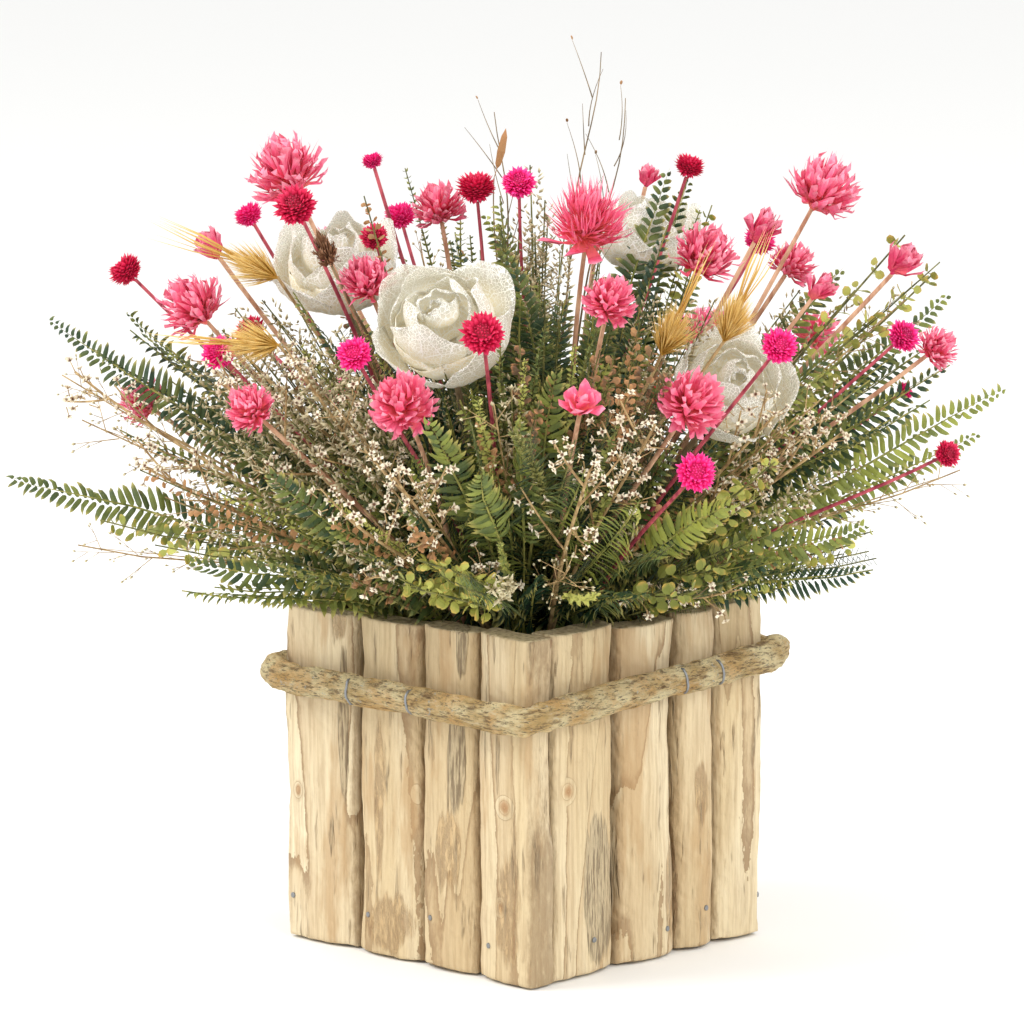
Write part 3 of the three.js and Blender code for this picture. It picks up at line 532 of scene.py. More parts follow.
finishes = {
    "wood": woodFinish(),
    "bark": barkFinish(),
    "steel": steelFinish(),
    "foam": foamFinish(),
    "board": boardFinish(),
    "lace": laceFinish(),
    "coral": petalFinish("coralPetal", tint(240, 120, 110), tint(240, 90, 134),
                         tint(206, 46, 92), tint(252, 172, 188)),
    "magenta": petalFinish("magentaBract", tint(222, 14, 100), tint(252, 36, 140),
                           tint(176, 6, 82), tint(255, 112, 184)),
    "crimson": petalFinish("crimsonBract", tint(184, 6, 58), tint(220, 20, 78),
                           tint(150, 4, 48), tint(240, 76, 118)),
    "golden": petalFinish("goldenBristle", tint(196, 146, 54), tint(238, 204, 118),
                          tint(180, 130, 48), tint(250, 230, 168)),
    "floret": petalFinish("creamFloret", tint(104, 64, 38), tint(240, 228, 200), tint(210, 190, 154),
                          tint(246, 238, 216), (0.15, 0.55)),
    "husk": petalFinish("dryHusk", tint(134, 118, 82), tint(208, 196, 156),
                        tint(152, 134, 94), tint(232, 224, 196)),
    "bud": petalFinish("brownBud", tint(84, 54, 34), tint(120, 78, 50), tint(62, 40, 28), tint(150, 110, 80)),
    "coralStem": stemFinish("coralStem", tint(168, 116, 88), tint(216, 172, 138)),
    "magentaStem": stemFinish("magentaStem", tint(140, 44, 62), tint(204, 92, 102)),
    "woodyStem": stemFinish("woodyStem", tint(98, 82, 58), tint(156, 134, 100)),
    "wiryStem": stemFinish("wiryStem", tint(138, 108, 68), tint(200, 170, 120)),
    "greenStem": stemFinish("greenStem", tint(66, 72, 38), tint(136, 134, 74)),
    "fern": leafFinish("fernLeaf", tint(34, 62, 38), tint(170, 176, 74), tint(184, 170, 92)),
    "fernRib": stemFinish("fernRib", tint(96, 108, 50), tint(168, 160, 84)),
    "sprig": leafFinish("darkSprig", tint(32, 50, 34), tint(122, 140, 72), tint(132, 120, 74)),
    "thyme": leafFinish("smallLeaf", tint(82, 100, 48), tint(184, 184, 92), tint(188, 168, 92)),
    "round": leafFinish("roundLeaf", tint(118, 124, 52), tint(206, 206, 104), tint(202, 166, 80)),
    "brownLeaf": leafFinish("brownPod", tint(88, 66, 40), tint(168, 124, 78), tint(184, 128, 82)),
    "heath": leafFinish("heathLeaf", tint(78, 92, 48), tint(170, 164, 94), tint(164, 132, 92)),
}
print("finishes:", len(finishes))


def paint(piece, *names):
    piece.data.materials.clear()
    for name in names:
        piece.data.materials.append(finishes[name].material)


# Petals and leaves are drawn out of a small flat ring, row by row

def growBlade(name, rows, finish, sides=4):
    # Rows are (along, half width, half thickness, rise), and the last one closes in a point
    deselectAll()
    bpy.ops.mesh.primitive_circle_add(vertices=sides, radius=1, fill_type="NGON")
    bpy.ops.object.mode_set(mode="EDIT")
    bpy.ops.transform.rotate(value=math.pi / 2, orient_axis="X", center_override=(0, 0, 0))
    along, width, thick, rise = rows[0]
    bpy.ops.transform.resize(value=(width, 1, thick), center_override=(0, 0, 0))
    bpy.ops.transform.translate(value=(0, along, rise))
    for before, row in zip(rows, rows[1:]):
        step = (0, row[0] - before[0], row[3] - before[3])
        bpy.ops.mesh.extrude_region_move(TRANSFORM_OT_translate={"value": step})
        if row[1] > 0:
            shape = (row[1] / before[1], 1, row[2] / before[2])
            bpy.ops.transform.resize(value=shape, center_override=(0, row[0], row[3]))
    if rows[-1][1] == 0:
        bpy.ops.mesh.merge(type="CENTER")
    bpy.ops.mesh.select_all(action="SELECT")
    bpy.ops.mesh.normals_make_consistent(inside=False)
    piece = done()
    setLevel(piece, "reach", pointsOf(piece)[:, 1] / rows[-1][0])
    setLevel(piece, "tone", 0.0)
    paint(piece, finish)
    return keepTemplate(piece, name)


def facing(direction, normal, place=(0, 0, 0), size=1.0):
    # Turns a blade drawn along +Y, its upper face +Z, to a direction
    along = Vector(direction).normalized()
    flat = Vector(normal)
    flat = (flat - along * flat.dot(along)).normalized()
    turn = Matrix((along.cross(flat), along, flat)).transposed().to_4x4()
    return Matrix.Translation(Vector(place)) @ turn @ Matrix.Scale(size, 4)


upright = facing((0, 0, 1), (0, 1, 0))
leafTurn = 2.4  # radians from one leaf or twig to the next round a stalk


def whorl(petal, count, height, radius, lean, length, draw, width, loose, spin):
    # A ring of petals round +Z, each leaning out by so many degrees
    made = []
    for i in range(count):
        angle = 2 * math.pi * (i + spin + draw(-0.18, 0.18)) / count
        tilt = math.radians(lean + draw(-loose, loose))
        outward = Vector((math.cos(angle), math.sin(angle), 0))
        direction = outward * math.sin(tilt) + Vector((0, 0, math.cos(tilt)))
        inward = Vector((0, 0, math.sin(tilt))) - outward * math.cos(tilt)
        side = outward.cross(Vector((0, 0, 1)))
        place = outward * radius + Vector((0, 0, height))
        long = length * draw(0.85, 1.08)
        turn = facing(direction, inward + side * draw(-0.5, 0.5), place)
        broad = width * draw(0.8, 1.2)
        made.append(copyOf(petal, turn @ Matrix.Diagonal((broad, long, long, 1)), draw(0.15, 0.85)))
    return made


coralBloom = {
    "petals": {
        "strap": (3, [(0, 0.02, 0.012, 0), (0.5, 0.035, 0.014, -0.045), (0.88, 0.033, 0.01, -0.005),
                      (1, 0, 0, 0.06)]),
        "thread": (3, [(0, 0.01, 0.008, 0), (0.5, 0.011, 0.009, -0.04), (1, 0, 0, 0.1)]),
        "broad": (4, [(0, 0.028, 0.012, 0), (0.35, 0.05, 0.014, -0.03), (0.8, 0.046, 0.012, -0.02),
                      (1, 0, 0, 0.05)]),
    },
    # Rings as (petal, count, height, radius, lean, length, width), by the head's width
    "brush": [("strap", 12, 0.02, 0.035, 36, 0.3, 1.4), ("strap", 25, 0.08, 0.06, 72, 0.45, 1.15),
              ("thread", 12, 0.1, 0.06, 62, 0.5, 1), ("strap", 29, 0.12, 0.07, 58, 0.5, 1.15),
              ("strap", 29, 0.16, 0.07, 46, 0.53, 1.15), ("thread", 14, 0.16, 0.06, 38, 0.58, 1),
              ("strap", 24, 0.19, 0.07, 34, 0.55, 1.15), ("strap", 18, 0.22, 0.06, 22, 0.55, 1.15),
              ("strap", 10, 0.25, 0.04, 11, 0.54, 1.3), ("thread", 8, 0.26, 0.03, 8, 0.58, 1)],
    "funnel": [("broad", 7, 0.02, 0.035, 22, 0.36, 1.3), ("broad", 7, 0.07, 0.055, 36, 0.6, 2.0),
               ("broad", 7, 0.11, 0.055, 27, 0.66, 2.1), ("broad", 6, 0.15, 0.05, 17, 0.64, 1.9),
               ("strap", 10, 0.19, 0.04, 10, 0.58, 1.5)],
    "fibre": [("broad", 7, 0.02, 0.04, 84, 0.5, 1.6), ("thread", 38, 0.08, 0.06, 74, 0.44, 1.3),
              ("thread", 46, 0.1, 0.07, 63, 0.48, 1.3), ("thread", 50, 0.14, 0.07, 52, 0.51, 1.3),
              ("thread", 48, 0.17, 0.07, 41, 0.53, 1.3), ("thread", 42, 0.2, 0.06, 30, 0.55, 1.3),
              ("thread", 34, 0.22, 0.05, 19, 0.56, 1.3), ("strap", 12, 0.24, 0.04, 8, 0.42, 1)],
    "ruffled": [("strap", 9, 0.02, 0.035, 34, 0.3, 1.3), ("strap", 24, 0.07, 0.06, 84, 0.42, 1.4),
                ("strap", 28, 0.11, 0.07, 70, 0.46, 1.4), ("strap", 28, 0.15, 0.07, 57, 0.49, 1.4),
                ("strap", 26, 0.19, 0.06, 43, 0.51, 1.4), ("strap", 18, 0.22, 0.05, 28, 0.52, 1.4),
                ("strap", 11, 0.25, 0.03, 12, 0.5, 1.3)],
    "open": [("broad", 5, 0.05, 0.04, 60, 0.52, 3.4), ("broad", 5, 0.1, 0.05, 42, 0.48, 3.0),
             ("broad", 3, 0.12, 0.04, 22, 0.42, 2.6), ("thread", 12, 0.12, 0.03, 18, 0.3, 1.4)],
    "loose": 17.0,
    "crumple": 0.035,
    "deepened": {"funnel": -0.4},
}


def makeCoralHeads():
    petals = {kind: growBlade("coral" + kind.title(), rows, "coral", sides)
              for kind, (sides, rows) in coralBloom["petals"].items()}
    cup = growBlade("coralCup", [(-0.02, 0.03, 0.03, 0), (0.1, 0.07, 0.07, 0), (0.3, 0.1, 0.1, 0),
                                 (0.42, 0.04, 0.04, 0), (0.46, 0, 0, 0)], "coral", 8)
    heads = {}
    for n, kind in enumerate(("brush", "ruffled", "funnel", "fibre", "open")):
        draw = drawer(seeds["coral"] + n)
        made = [copyOf(cup, upright, 0.3)]
        for k, (petal, count, height, radius, lean, length, width) in enumerate(coralBloom[kind]):
            made += whorl(petals[petal], count, height, radius, lean, length, draw, width,
                          coralBloom["loose"], k * 0.5)
        head = crumple(joinAll("coral" + kind.title(), made), coralBloom["crumple"], (17, 41))
        heads[kind] = keepTemplate(head, "coral" + kind.title())
    return heads


# Sizes by the head's width; a bract of the disc at the crown is this much shorter and narrower
globeBloom = {"bracts": 230, "core": 0.3, "middle": 0.42, "sunk": 0.93, "lean": 0.35, "loose": 0.32,
              "length": 0.23, "width": 0.052, "thick": 0.06, "below": 0.35, "disc": 0.82,
              "discLength": 0.4, "discWidth": 0.6, "discSpread": 0.25, "squash": (1.06, 1.06, 0.88, 1)}
goldenAngle = math.pi * (3 - math.sqrt(5))


def makeGlobeHead():
    # A pincushion of bracts round a small disc at its crown
    bract = growBlade("globeBract", [(0, 1, 0.5, 0), (0.5, 1.2, 0.45, 0.05), (1, 0, 0, -0.05)], "magenta", 3)
    deselectAll()
    bpy.ops.mesh.primitive_uv_sphere_add(segments=14, ring_count=9, radius=globeBloom["core"],
                                         location=(0, 0, globeBloom["middle"]))
    core = bpy.context.object
    bpy.ops.object.transform_apply(location=True, rotation=True, scale=True)
    setLevel(core, "tone", 0.0)
    setLevel(core, "reach", 0.1)
    paint(core, "magenta")
    draw = drawer(seeds["globe"])
    made = [core]
    for i in range(globeBloom["bracts"]):
        height = 1 - 2 * (i + 0.5) / globeBloom["bracts"]
        angle = i * goldenAngle
        level = math.sqrt(1 - height * height)
        out = Vector((level * math.cos(angle), level * math.sin(angle), height))
        stray = globeBloom["loose"]
        loose = Vector((draw(-stray, stray), draw(-stray, stray), draw(-0.1, 0.3)))
        inDisc = height > globeBloom["disc"]
        rise = Vector((0, 0, 1 if inDisc else globeBloom["lean"]))
        direction = out * (globeBloom["discSpread"] if inDisc else 1) + rise + loose
        place = out * globeBloom["core"] * globeBloom["sunk"] + Vector((0, 0, globeBloom["middle"]))
        turn = facing(direction, Vector((0, 0, 1)) + out * 0.01, place)
        long = globeBloom["length"] * draw(0.7, 1.25)
        long *= globeBloom["discLength"] if inDisc else 1 - globeBloom["below"] * max(0, -height)
        wide = globeBloom["width"] * (globeBloom["discWidth"] if inDisc else 1)
        size = Matrix.Diagonal((wide, long, globeBloom["thick"], 1))
        made.append(copyOf(bract, turn @ size, draw(0.0, 0.3) if inDisc else draw(0.25, 0.95)))
    head = joinAll("globeHead", made)
    head.data.transform(Matrix.Diagonal(globeBloom["squash"]))
    return keepTemplate(head, "globeHead")


tailBloom = {"bristles": 300, "bristle": 0.62, "low": 0.03, "rise": 0.3, "spread": 48.0, "turn": 0.382,
             "awns": 9, "awn": 1.7, "awnHeight": 0.6, "awnLean": 14, "root": 0.02}


def makeTailHead():
    bristle = growBlade("tailBristle", [(0, 0.011, 0.011, 0), (0.5, 0.009, 0.009, 0.05), (1, 0, 0, 0.16)],
                        "golden", 3)
    spine = growBlade("tailSpine", [(0, 0.02, 0.02, 0), (0.2, 0.07, 0.07, 0), (0.5, 0.08, 0.08, 0),
                                    (0.8, 0.04, 0.04, 0), (0.95, 0, 0, 0)], "golden", 6)
    draw = drawer(seeds["tail"])
    made = [copyOf(spine, upright, 0.2)]
    for i in range(tailBloom["bristles"]):
        share = (i + 0.5) / tailBloom["bristles"]
        lean = tailBloom["spread"] * math.sqrt(1 - share * 0.97)
        made += whorl(bristle, 1, tailBloom["low"] + tailBloom["rise"] * share, tailBloom["root"], lean,
                      tailBloom["bristle"] * draw(0.8, 1.2), draw, 1, 5, i * tailBloom["turn"])
    for i in range(tailBloom["awns"]):
        made += whorl(bristle, 1, tailBloom["awnHeight"], tailBloom["root"], tailBloom["awnLean"],
                      tailBloom["awn"], draw, 0.8, 12, i / tailBloom["awns"])
    return keepTemplate(joinAll("tailHead", made), "tailHead")


roseBloom = {
    "middle": 0.4,
    # Petals as (facing in turns, shell, low, high, half span, flare), by the head's width, angles in degrees
    "petals": [(0.0, 0.5, 126, 56, 56, 0.16), (0.22, 0.48, 126, 74, 50, 0.2),
               (0.46, 0.5, 128, 58, 58, 0.12), (0.7, 0.48, 124, 70, 54, 0.18),
               (0.1, 0.38, 122, 42, 62, 0.1), (0.42, 0.39, 122, 50, 60, 0.08),
               (0.78, 0.37, 120, 40, 62, 0.09), (0.2, 0.27, 118, 34, 78, 0.05),
               (0.66, 0.27, 118, 38, 76, 0.06), (0.42, 0.17, 112, 24, 100, 0.04),
               (0.92, 0.15, 110, 20, 100, 0.03), (0.2, 0.08, 110, 4, 160, 0.0),
               (0.05, 0.42, 168, 80, 150, 0.0), (0.55, 0.41, 168, 84, 150, 0.0),
               (0.3, 0.43, 170, 92, 150, 0.0)],
    "cuts": 15, "crumple": 0.05, "cloud": 0.16, "thick": 0.005, "lift": 0.56, "bowl": 150, "closed": 0.3,
    # Waves of the edge as (how many round a turn, height, the power by which they fade to the foot)
    "waves": [(5, 0.024, 2), (13, 0.007, 3)],
    # Outline: how far the corners drop, the foot's share of the width, how soon it widens, where it narrows
    "drop": 0.3, "foot": 0.42, "widens": 2.3, "narrowing": 0.42, "narrowsFrom": 0.55, "belly": 0.12,
}


def rosePetal(turns, shell, low, high, halfSpan, flare, draw):
    # A net-like petal: a grid laid on a round shell, its top edge rolled out and waved
    deselectAll()
    cuts = roseBloom["cuts"]
    bpy.ops.mesh.primitive_grid_add(x_subdivisions=cuts, y_subdivisions=cuts, size=2)
    petal = bpy.context.object
    grid = pointsOf(petal)
    across, along = grid[:, 0], (grid[:, 1] + 1) / 2
    # Square corners are drawn in to a round outline, narrow at the foot
    foot, narrowsFrom, belly = (roseBloom[name] for name in ("foot", "narrowsFrom", "belly"))
    dome = 1 - roseBloom["drop"] * across ** 2
    width = foot + (1 - foot) * np.sin(np.clip(along * roseBloom["widens"], 0, np.pi / 2))
    narrowed = np.clip((along - narrowsFrom) / (1 - narrowsFrom), 0, 1)
    width *= 1 - roseBloom["narrowing"] * narrowed ** 2
    polar = np.radians(low + (high - low) * along * dome)
    azimuth = 2 * math.pi * turns + np.radians(halfSpan) * across * width
    phase = draw(0, 6.28)
    lift = roseBloom["lift"] * (0.5 - shell)
    wave = sum(height * np.sin(azimuth * many + phase * (k + 1)) * along ** fade
               for k, (many, height, fade) in enumerate(roseBloom["waves"]))
    radius = shell * (1 - belly + belly * np.sin(along * math.pi)) + flare * along ** 4 * dome + wave
    setPoints(petal, np.stack([
        radius * np.sin(polar) * np.cos(azimuth), radius * np.sin(polar) * np.sin(azimuth),
        radius * np.cos(polar) + roseBloom["middle"] + lift,
    ], 1))
    setLevel(petal, "reach", along * (roseBloom["closed"] if low > roseBloom["bowl"] else 1))
    setLevel(petal, "tone", draw())
    paint(petal, "lace")
    return petal


def makeRoseHead():
    draw = drawer(seeds["rose"])
    rose = joinAll("roseHead", [rosePetal(*petal, draw) for petal in roseBloom["petals"]])
    roughen(rose, roseBloom["cloud"], roseBloom["crumple"])
    applyModifier(rose, "SOLIDIFY", thickness=roseBloom["thick"], offset=-1)
    bpy.ops.object.shade_smooth()
    cup = growBlade("roseCup", [(-0.04, 0.035, 0.035, 0), (0.03, 0.07, 0.07, 0), (0.1, 0.09, 0.09, 0),
                                (0.2, 0, 0, 0)], "husk", 8)
    return keepTemplate(joinAll("roseHead", [rose, copyOf(cup, upright)]), "roseHead")


fernBlade = {
    "pitch": 3.4,
    # Pinna outlines by their length: flat, curled under, and a plain one for the filling
    "pinnae": [[(0, 0.6, 0.2, 0), (0.14, 1.35, 0.24, 0.15), (0.5, 1.4, 0.24, 0.3), (0.82, 1.0, 0.2, -0.5),
                (1, 0, 0, -1.8)],
               [(0, 0.6, 0.2, 0), (0.16, 1.35, 0.26, 0.6), (0.5, 1.3, 0.26, 0.1), (0.76, 0.9, 0.2, -2.2),
                (0.88, 0, 0, -4.6)]],
    "plain": [(0, 0.6, 0.2, 0), (0.4, 1.45, 0.3, 0.2), (0.8, 1.0, 0.25, -0.8), (1, 0, 0, -2.2)],
    "lengths": [70, 100, 140],
    "plainLength": 100,
    "half": 15.0,
}


def profileOf(place):
    return np.minimum(1, 0.45 + 2.4 * place) * (1 - 0.9 * place ** 2.2)


def makeFrond(length, pinnae, seed):
    # A straight frond along +Y, with pairs of drooping pinnae on a rib
    draw = drawer(seed)
    rib = growBlade("rib", [(0, 0.7, 0.6, 0), (length * 0.6, 0.5, 0.45, 0), (length + 2, 0, 0, 0)],
                    "fernRib", 5)
    made = [copyOf(rib, Matrix.Identity(4), 0.5)]
    for k in range(int(length / fernBlade["pitch"])):
        place = (k + 0.5) * fernBlade["pitch"] / length
        for side in (-1, 1):
            direction = (side, 0.2 + 0.55 * place + draw(-0.14, 0.14), draw(-0.45, 0.12))
            root = (side * 0.3, place * length + side * 0.7, 0.2)
            size = max(0.18, float(profileOf(place))) * draw(0.82, 1.1)
            turn = facing(direction, (draw(-0.35, 0.35), draw(-0.2, 0.6), 1), root)
            made.append(copyOf(pinnae[draw() < 0.35], turn @ Matrix.Diagonal((0.6 + 0.4 * size, size, 1, 1)),
                               draw(-0.16, 0.16)))
    return keepTemplate(crumple(joinAll("frond%d" % seed, made), 0.8, (0.11, 0.37)), "frond%d" % seed)


def makeFronds():
    def grown(rows, sides):
        rows = [(along * fernBlade["half"], *rest) for along, *rest in rows]
        return growBlade("pinna", rows, "fern", sides)

    pinnae = [grown(rows, 4) for rows in fernBlade["pinnae"]]
    plain = makeFrond(fernBlade["plainLength"], [grown(fernBlade["plain"], 3)] * 2, seeds["plainFrond"])
    return [makeFrond(length, pinnae, seeds["fronds"] + n)
            for n, length in enumerate(fernBlade["lengths"])], plain


# Straight sprigs along +Y for the filling, as leaves set along a stalk
sprigKeys = ("length", "pitch", "around", "sides", "finish", "lean", "lift", "taper", "from", "stray", "leaf")
sprigForms = {
    "needle": (100, 2.3, 2, 3, "sprig", (0.35, 0.9), 0.35, 0.75, 0.05, 0,
               [(0, 0.3, 0.14, 0), (7, 0.6, 0.16, 0.6), (14, 0, 0, 0.1)]),
    "brush": (60, 1.8, 3, 3, "sprig", (0.7, 1.3), 1.0, 0.5, 0.1, 0,
              [(0, 0.25, 0.14, 0), (4, 0.45, 0.16, 0.4), (8, 0, 0, 0.3)]),
    "thyme": (85, 2.6, 3, 4, "thyme", (0.3, 1.0), 1.0, 0.45, 0.2, 0,
              [(0, 0.2, 0.12, 0), (1.7, 0.95, 0.2, 0.25), (3.8, 0, 0, 0.1)]),
    "pod": (95, 4.2, 2, 4, "brownLeaf", (0.3, 1.0), 1.0, 0.3, 0.3, 0,
            [(0, 0.15, 0.12, 0), (1.5, 0.4, 0.25, 0), (2.9, 1.9, 0.6, 0.1), (4.5, 1.4, 0.5, 0.2),
             (5.2, 0, 0, 0.1)]),
    "husk": (90, 1.7, 2, 3, "husk", (0.5, 1.6), 1.0, 0.2, 0.35, 3.5,
             [(0, 0.2, 0.2, 0), (1.5, 0.8, 0.45, 0), (3.9, 0, 0, 0.2)]),
    "coin": (80, 5.5, 2, 4, "round", (0.3, 1.0), 1.0, 0.35, 0.25, 0,
             [(0, 0.2, 0.15, 0), (1.6, 0.3, 0.2, 0.2), (3.4, 2.3, 0.3, 0.4), (6, 2.6, 0.3, 0.4),
              (7.8, 1.2, 0.3, 0.2), (8.3, 0, 0, 0)]),
}


def makeSprig(kind, form, seed):
    draw, flat = drawer(seed), form["lift"] < 0.5
    leaf = growBlade(kind + "Leaf", form["leaf"], form["finish"], form["sides"])
    stalk = growBlade(kind + "Stalk", [(0, 0.5, 0.5, 0), (form["length"], 0, 0, 0)], "greenStem", 4)
    made = [copyOf(stalk, Matrix.Identity(4), 0.5)]
    for k in range(int(form["length"] * (1 - form["from"]) / form["pitch"])):
        along = form["from"] * form["length"] + (k + 0.5) * form["pitch"]
        for side in range(form["around"]):
            spin = 0 if flat else k * leafTurn
            angle = 2 * math.pi * side / form["around"] + spin + draw(-0.3, 0.3)
            high = math.sin(angle) * form["lift"] + draw(-0.2, 0.2)
            direction = (math.cos(angle), draw(*form["lean"]), high)
            stray = form["stray"]
            root = (draw(-stray, stray), along, draw(-stray, stray))
            size = (1 - form["taper"] * (along / form["length"]) ** 1.6) * draw(0.8, 1.15)
            normal = (draw(-0.4, 0.4), -draw(0, 0.6), 1) if flat else (draw(-1, 1), -0.7, draw(-1, 1))
            made.append(copyOf(leaf, facing(direction, normal, root, size), draw(-0.2, 0.2)))
    return keepTemplate(joinAll(kind + "Sprig", made), kind + "Sprig")


floretShape = {"radius": 2.3, "depth": 1.6, "points": 5, "notch": 0.36, "sunk": 0.5}
staticeForm = {"length": 95.0, "branches": 13, "first": 0.3, "last": 0.98, "reach": 13.0, "stars": 2,
               "spread": 4.0, "stalk": np.array([0.55, 0.25]), "branch": np.array([0.35, 0.22])}
wispForm = {"length": 90.0, "branches": 12, "first": 0.2, "last": 0.98, "reach": 17.0,
            "forks": (0.4, 0.7), "stalk": np.array([0.4, 0.12]), "branch": np.array([0.22, 0.1]),
            "fork": np.array([0.16, 0.08])}


def makeFloret():
    # A five-pointed star cup
    deselectAll()
    half = math.pi / floretShape["points"]
    bpy.ops.mesh.primitive_cone_add(vertices=2 * floretShape["points"], radius1=floretShape["radius"],
                                    radius2=0, depth=floretShape["depth"], end_fill_type="TRIFAN",
                                    rotation=(math.pi, 0, 0), location=(0, 0, 0))
    floret = bpy.context.object
    bpy.ops.object.transform_apply(location=True, rotation=True, scale=True)
    bpy.ops.object.mode_set(mode="EDIT")
    pick(floret, lambda v: v.co.xy.length > 0.1 and round(math.atan2(v.co.y, v.co.x) / half) % 2)
    bpy.ops.transform.resize(value=(floretShape["notch"], floretShape["notch"], 1),
                             center_override=(0, 0, 0))
    pick(floret, lambda v: v.co.z > 0 and v.co.xy.length < 0.01)
    bpy.ops.transform.translate(value=(0, 0, -floretShape["sunk"]))
    done()
    points = pointsOf(floret)
    setLevel(floret, "reach", np.hypot(points[:, 0], points[:, 1]) / floretShape["radius"])
    setLevel(floret, "tone", 0.0)
    paint(floret, "floret")
    return keepTemplate(floret, "floret")


def makeStaticeSprig():
    # A straight wiry twig along +Y with clusters of stars on its branches
    draw = drawer(seeds["statice"])
    length = staticeForm["length"]
    tubes, florets = [(np.array([[0, 0, 0], [0, length, 0]]), staticeForm["stalk"])], []
    first = staticeForm["first"]
    for k in range(staticeForm["branches"]):
        share = first + (staticeForm["last"] - first) * k / staticeForm["branches"]
        start = np.array([0, length * share, 0])
        away = unit(np.array([math.cos(k * leafTurn), 1.0, math.sin(k * leafTurn)]))
        end = start + away * staticeForm["reach"] * draw(0.6, 1.1)
        tubes.append((np.array([start, end]), staticeForm["branch"]))
        more, stars = clusterOf(start, end, draw, staticeForm["stars"], staticeForm["spread"],
                                Matrix.Identity(4))
        tubes += more
        florets += stars
    twigs = growTubes("twig", tubes, "wiryStem", 0, 1.0)
    return keepTemplate(joinAll("staticeSprig", [twigs] + florets), "staticeSprig")


def makeWisp():
    # Hair-thin branching stem with a bud at each end
    draw = drawer(seeds["wisp"])
    bud = growBlade("wispBud", [(0, 0.15, 0.15, 0), (0.9, 0.6, 0.6, 0), (2.0, 0, 0, 0)], "husk", 4)
    tubes, buds = [(np.array([[0, 0, 0], [0, wispForm["length"], 0]]), wispForm["stalk"])], []
    first = wispForm["first"]
    for k in range(wispForm["branches"]):
        share = first + (wispForm["last"] - first) * k / wispForm["branches"]
        start = np.array([0, wispForm["length"] * share, 0])
        away = unit(np.array([math.cos(k * leafTurn), draw(0.8, 1.8), math.sin(k * leafTurn)]))
        end = start + away * wispForm["reach"] * draw(0.5, 1.1)
        tubes.append((np.array([start, end]), wispForm["branch"]))
        buds.append(copyOf(bud, facing(away, (0, 0, 1), end), draw()))
        for share in wispForm["forks"]:
            fork = start + (end - start) * share
            side = unit(away + np.array([draw(-1, 1), draw(-0.2, 0.8), draw(-1, 1)]))
            tip = fork + side * draw(3, 8)
            tubes.append((np.array([fork, tip]), wispForm["fork"]))
            buds.append(copyOf(bud, facing(side, (0, 0, 1), tip), draw()))
    twigs = growTubes("twig", tubes, "wiryStem", 0, 1.0)
    return keepTemplate(joinAll("wispSprig", [twigs] + buds), "wispSprig")


def makeRoundLeaf(name, finish, width, length):
    rows = [(0, 0.25, 0.25, 0), (0.24 * length, 0.22, 0.2, 0.2), (0.34 * length, 0.36 * width, 0.28, 0.4),
            (0.6 * length, 0.52 * width, 0.32, 0.7), (0.86 * length, 0.38 * width, 0.28, 0.5),
            (length, 0, 0, 0.1)]
    return growBlade(name, rows, finish, 6)


def makeHeathLeaf():
    return growBlade("heathNeedle", [(0, 0.28, 0.2, 0), (1.6, 0.6, 0.3, 0.25), (3.8, 0, 0, 0.3)], "heath", 4)


# Lines and room in the arrangement, worked out as the stems' solids were

stand = {
    "width": 150.0, "height": 151.0, "slat": 15.0, "foamTop": 139.0, "vine": 7.2,
    "footRadius": 3.0, "footDepth": 26.0, "footRise": 4.5, "footSpacing": 13.0, "footReach": 51.0,
    "clearance": 0.5, "ballStep": 2.5, "ballStart": 0.03, "handle": 0.33, "launch": 0.5, "low": 0.6,
    "overRim": 3, "lineRoom": 75, "twigRoom": 60, "leafRoom": 40,
    "lifts": [0, 0.5, 1.1, -0.3, 1.8],
    "sways": [0, 6, -6, 12, -12, 19, -19, 27, -27, 36, -36],
}
fountain = np.array([0.0, 0.0, 118.0])


def unit(vector):
    return vector / np.linalg.norm(vector, axis=-1, keepdims=True)


def squareTo(along, wanted):
    return unit(wanted - along * np.sum(wanted * along, -1, keepdims=True))


def sideStart(along):
    return np.array([1.0, 0.0, 0.0]) if abs(along[2]) > 0.9 else up


class Line:
    # A Bezier line through its control points
    def __init__(self, *points):
        self.points = np.array(points, float)

    def trace(self, rows, shares):
        shares = np.atleast_1d(shares)[:, None]
        rows = rows[:, None, :] + 0 * shares
        while len(rows) > 1:
            rows = rows[:-1] + (rows[1:] - rows[:-1]) * shares
        return rows[0]

    def at(self, shares):
        return self.trace(self.points, shares)

    def along(self, shares):
        return unit(self.trace(self.points[1:] - self.points[:-1], shares))


class Crowd:
    # Balls that stand for what is already in the arrangement
    def __init__(self):
        self.at = np.empty((0, 3))
        self.radius = np.empty(0)
        self.owner = np.empty(0, int)

    def settle(self, owner, at, radius):
        self.at = np.vstack([self.at, at])
        self.radius = np.append(self.radius, np.broadcast_to(radius, len(at)))
        self.owner = np.append(self.owner, np.full(len(at), owner))

    def others(self, owner, low, high):
        near = (self.owner != owner) & (self.at > low).all(1) & (self.at < high).all(1)
        return self.at[near], self.radius[near]


crowd = Crowd()


def countHits(at, radius, others):
    reach = np.abs(at[:, :2]).max(1)
    rimIn, rimOut = stand["width"] / 2 - stand["slat"], stand["width"] / 2 + 2 * stand["vine"]
    low = at[:, 2] < stand["height"] + stand["overRim"] + radius
    hit = (reach > rimIn - radius) & (reach < rimOut) & low
    hit |= at[:, 2] < stand["foamTop"] + radius
    if len(others[0]):
        apart = ((at[:, None, :] - others[0][None]) ** 2).sum(2)
        hit |= (apart < (radius + others[1] + stand["clearance"])[None] ** 2).any(1)
    return int(hit.sum())


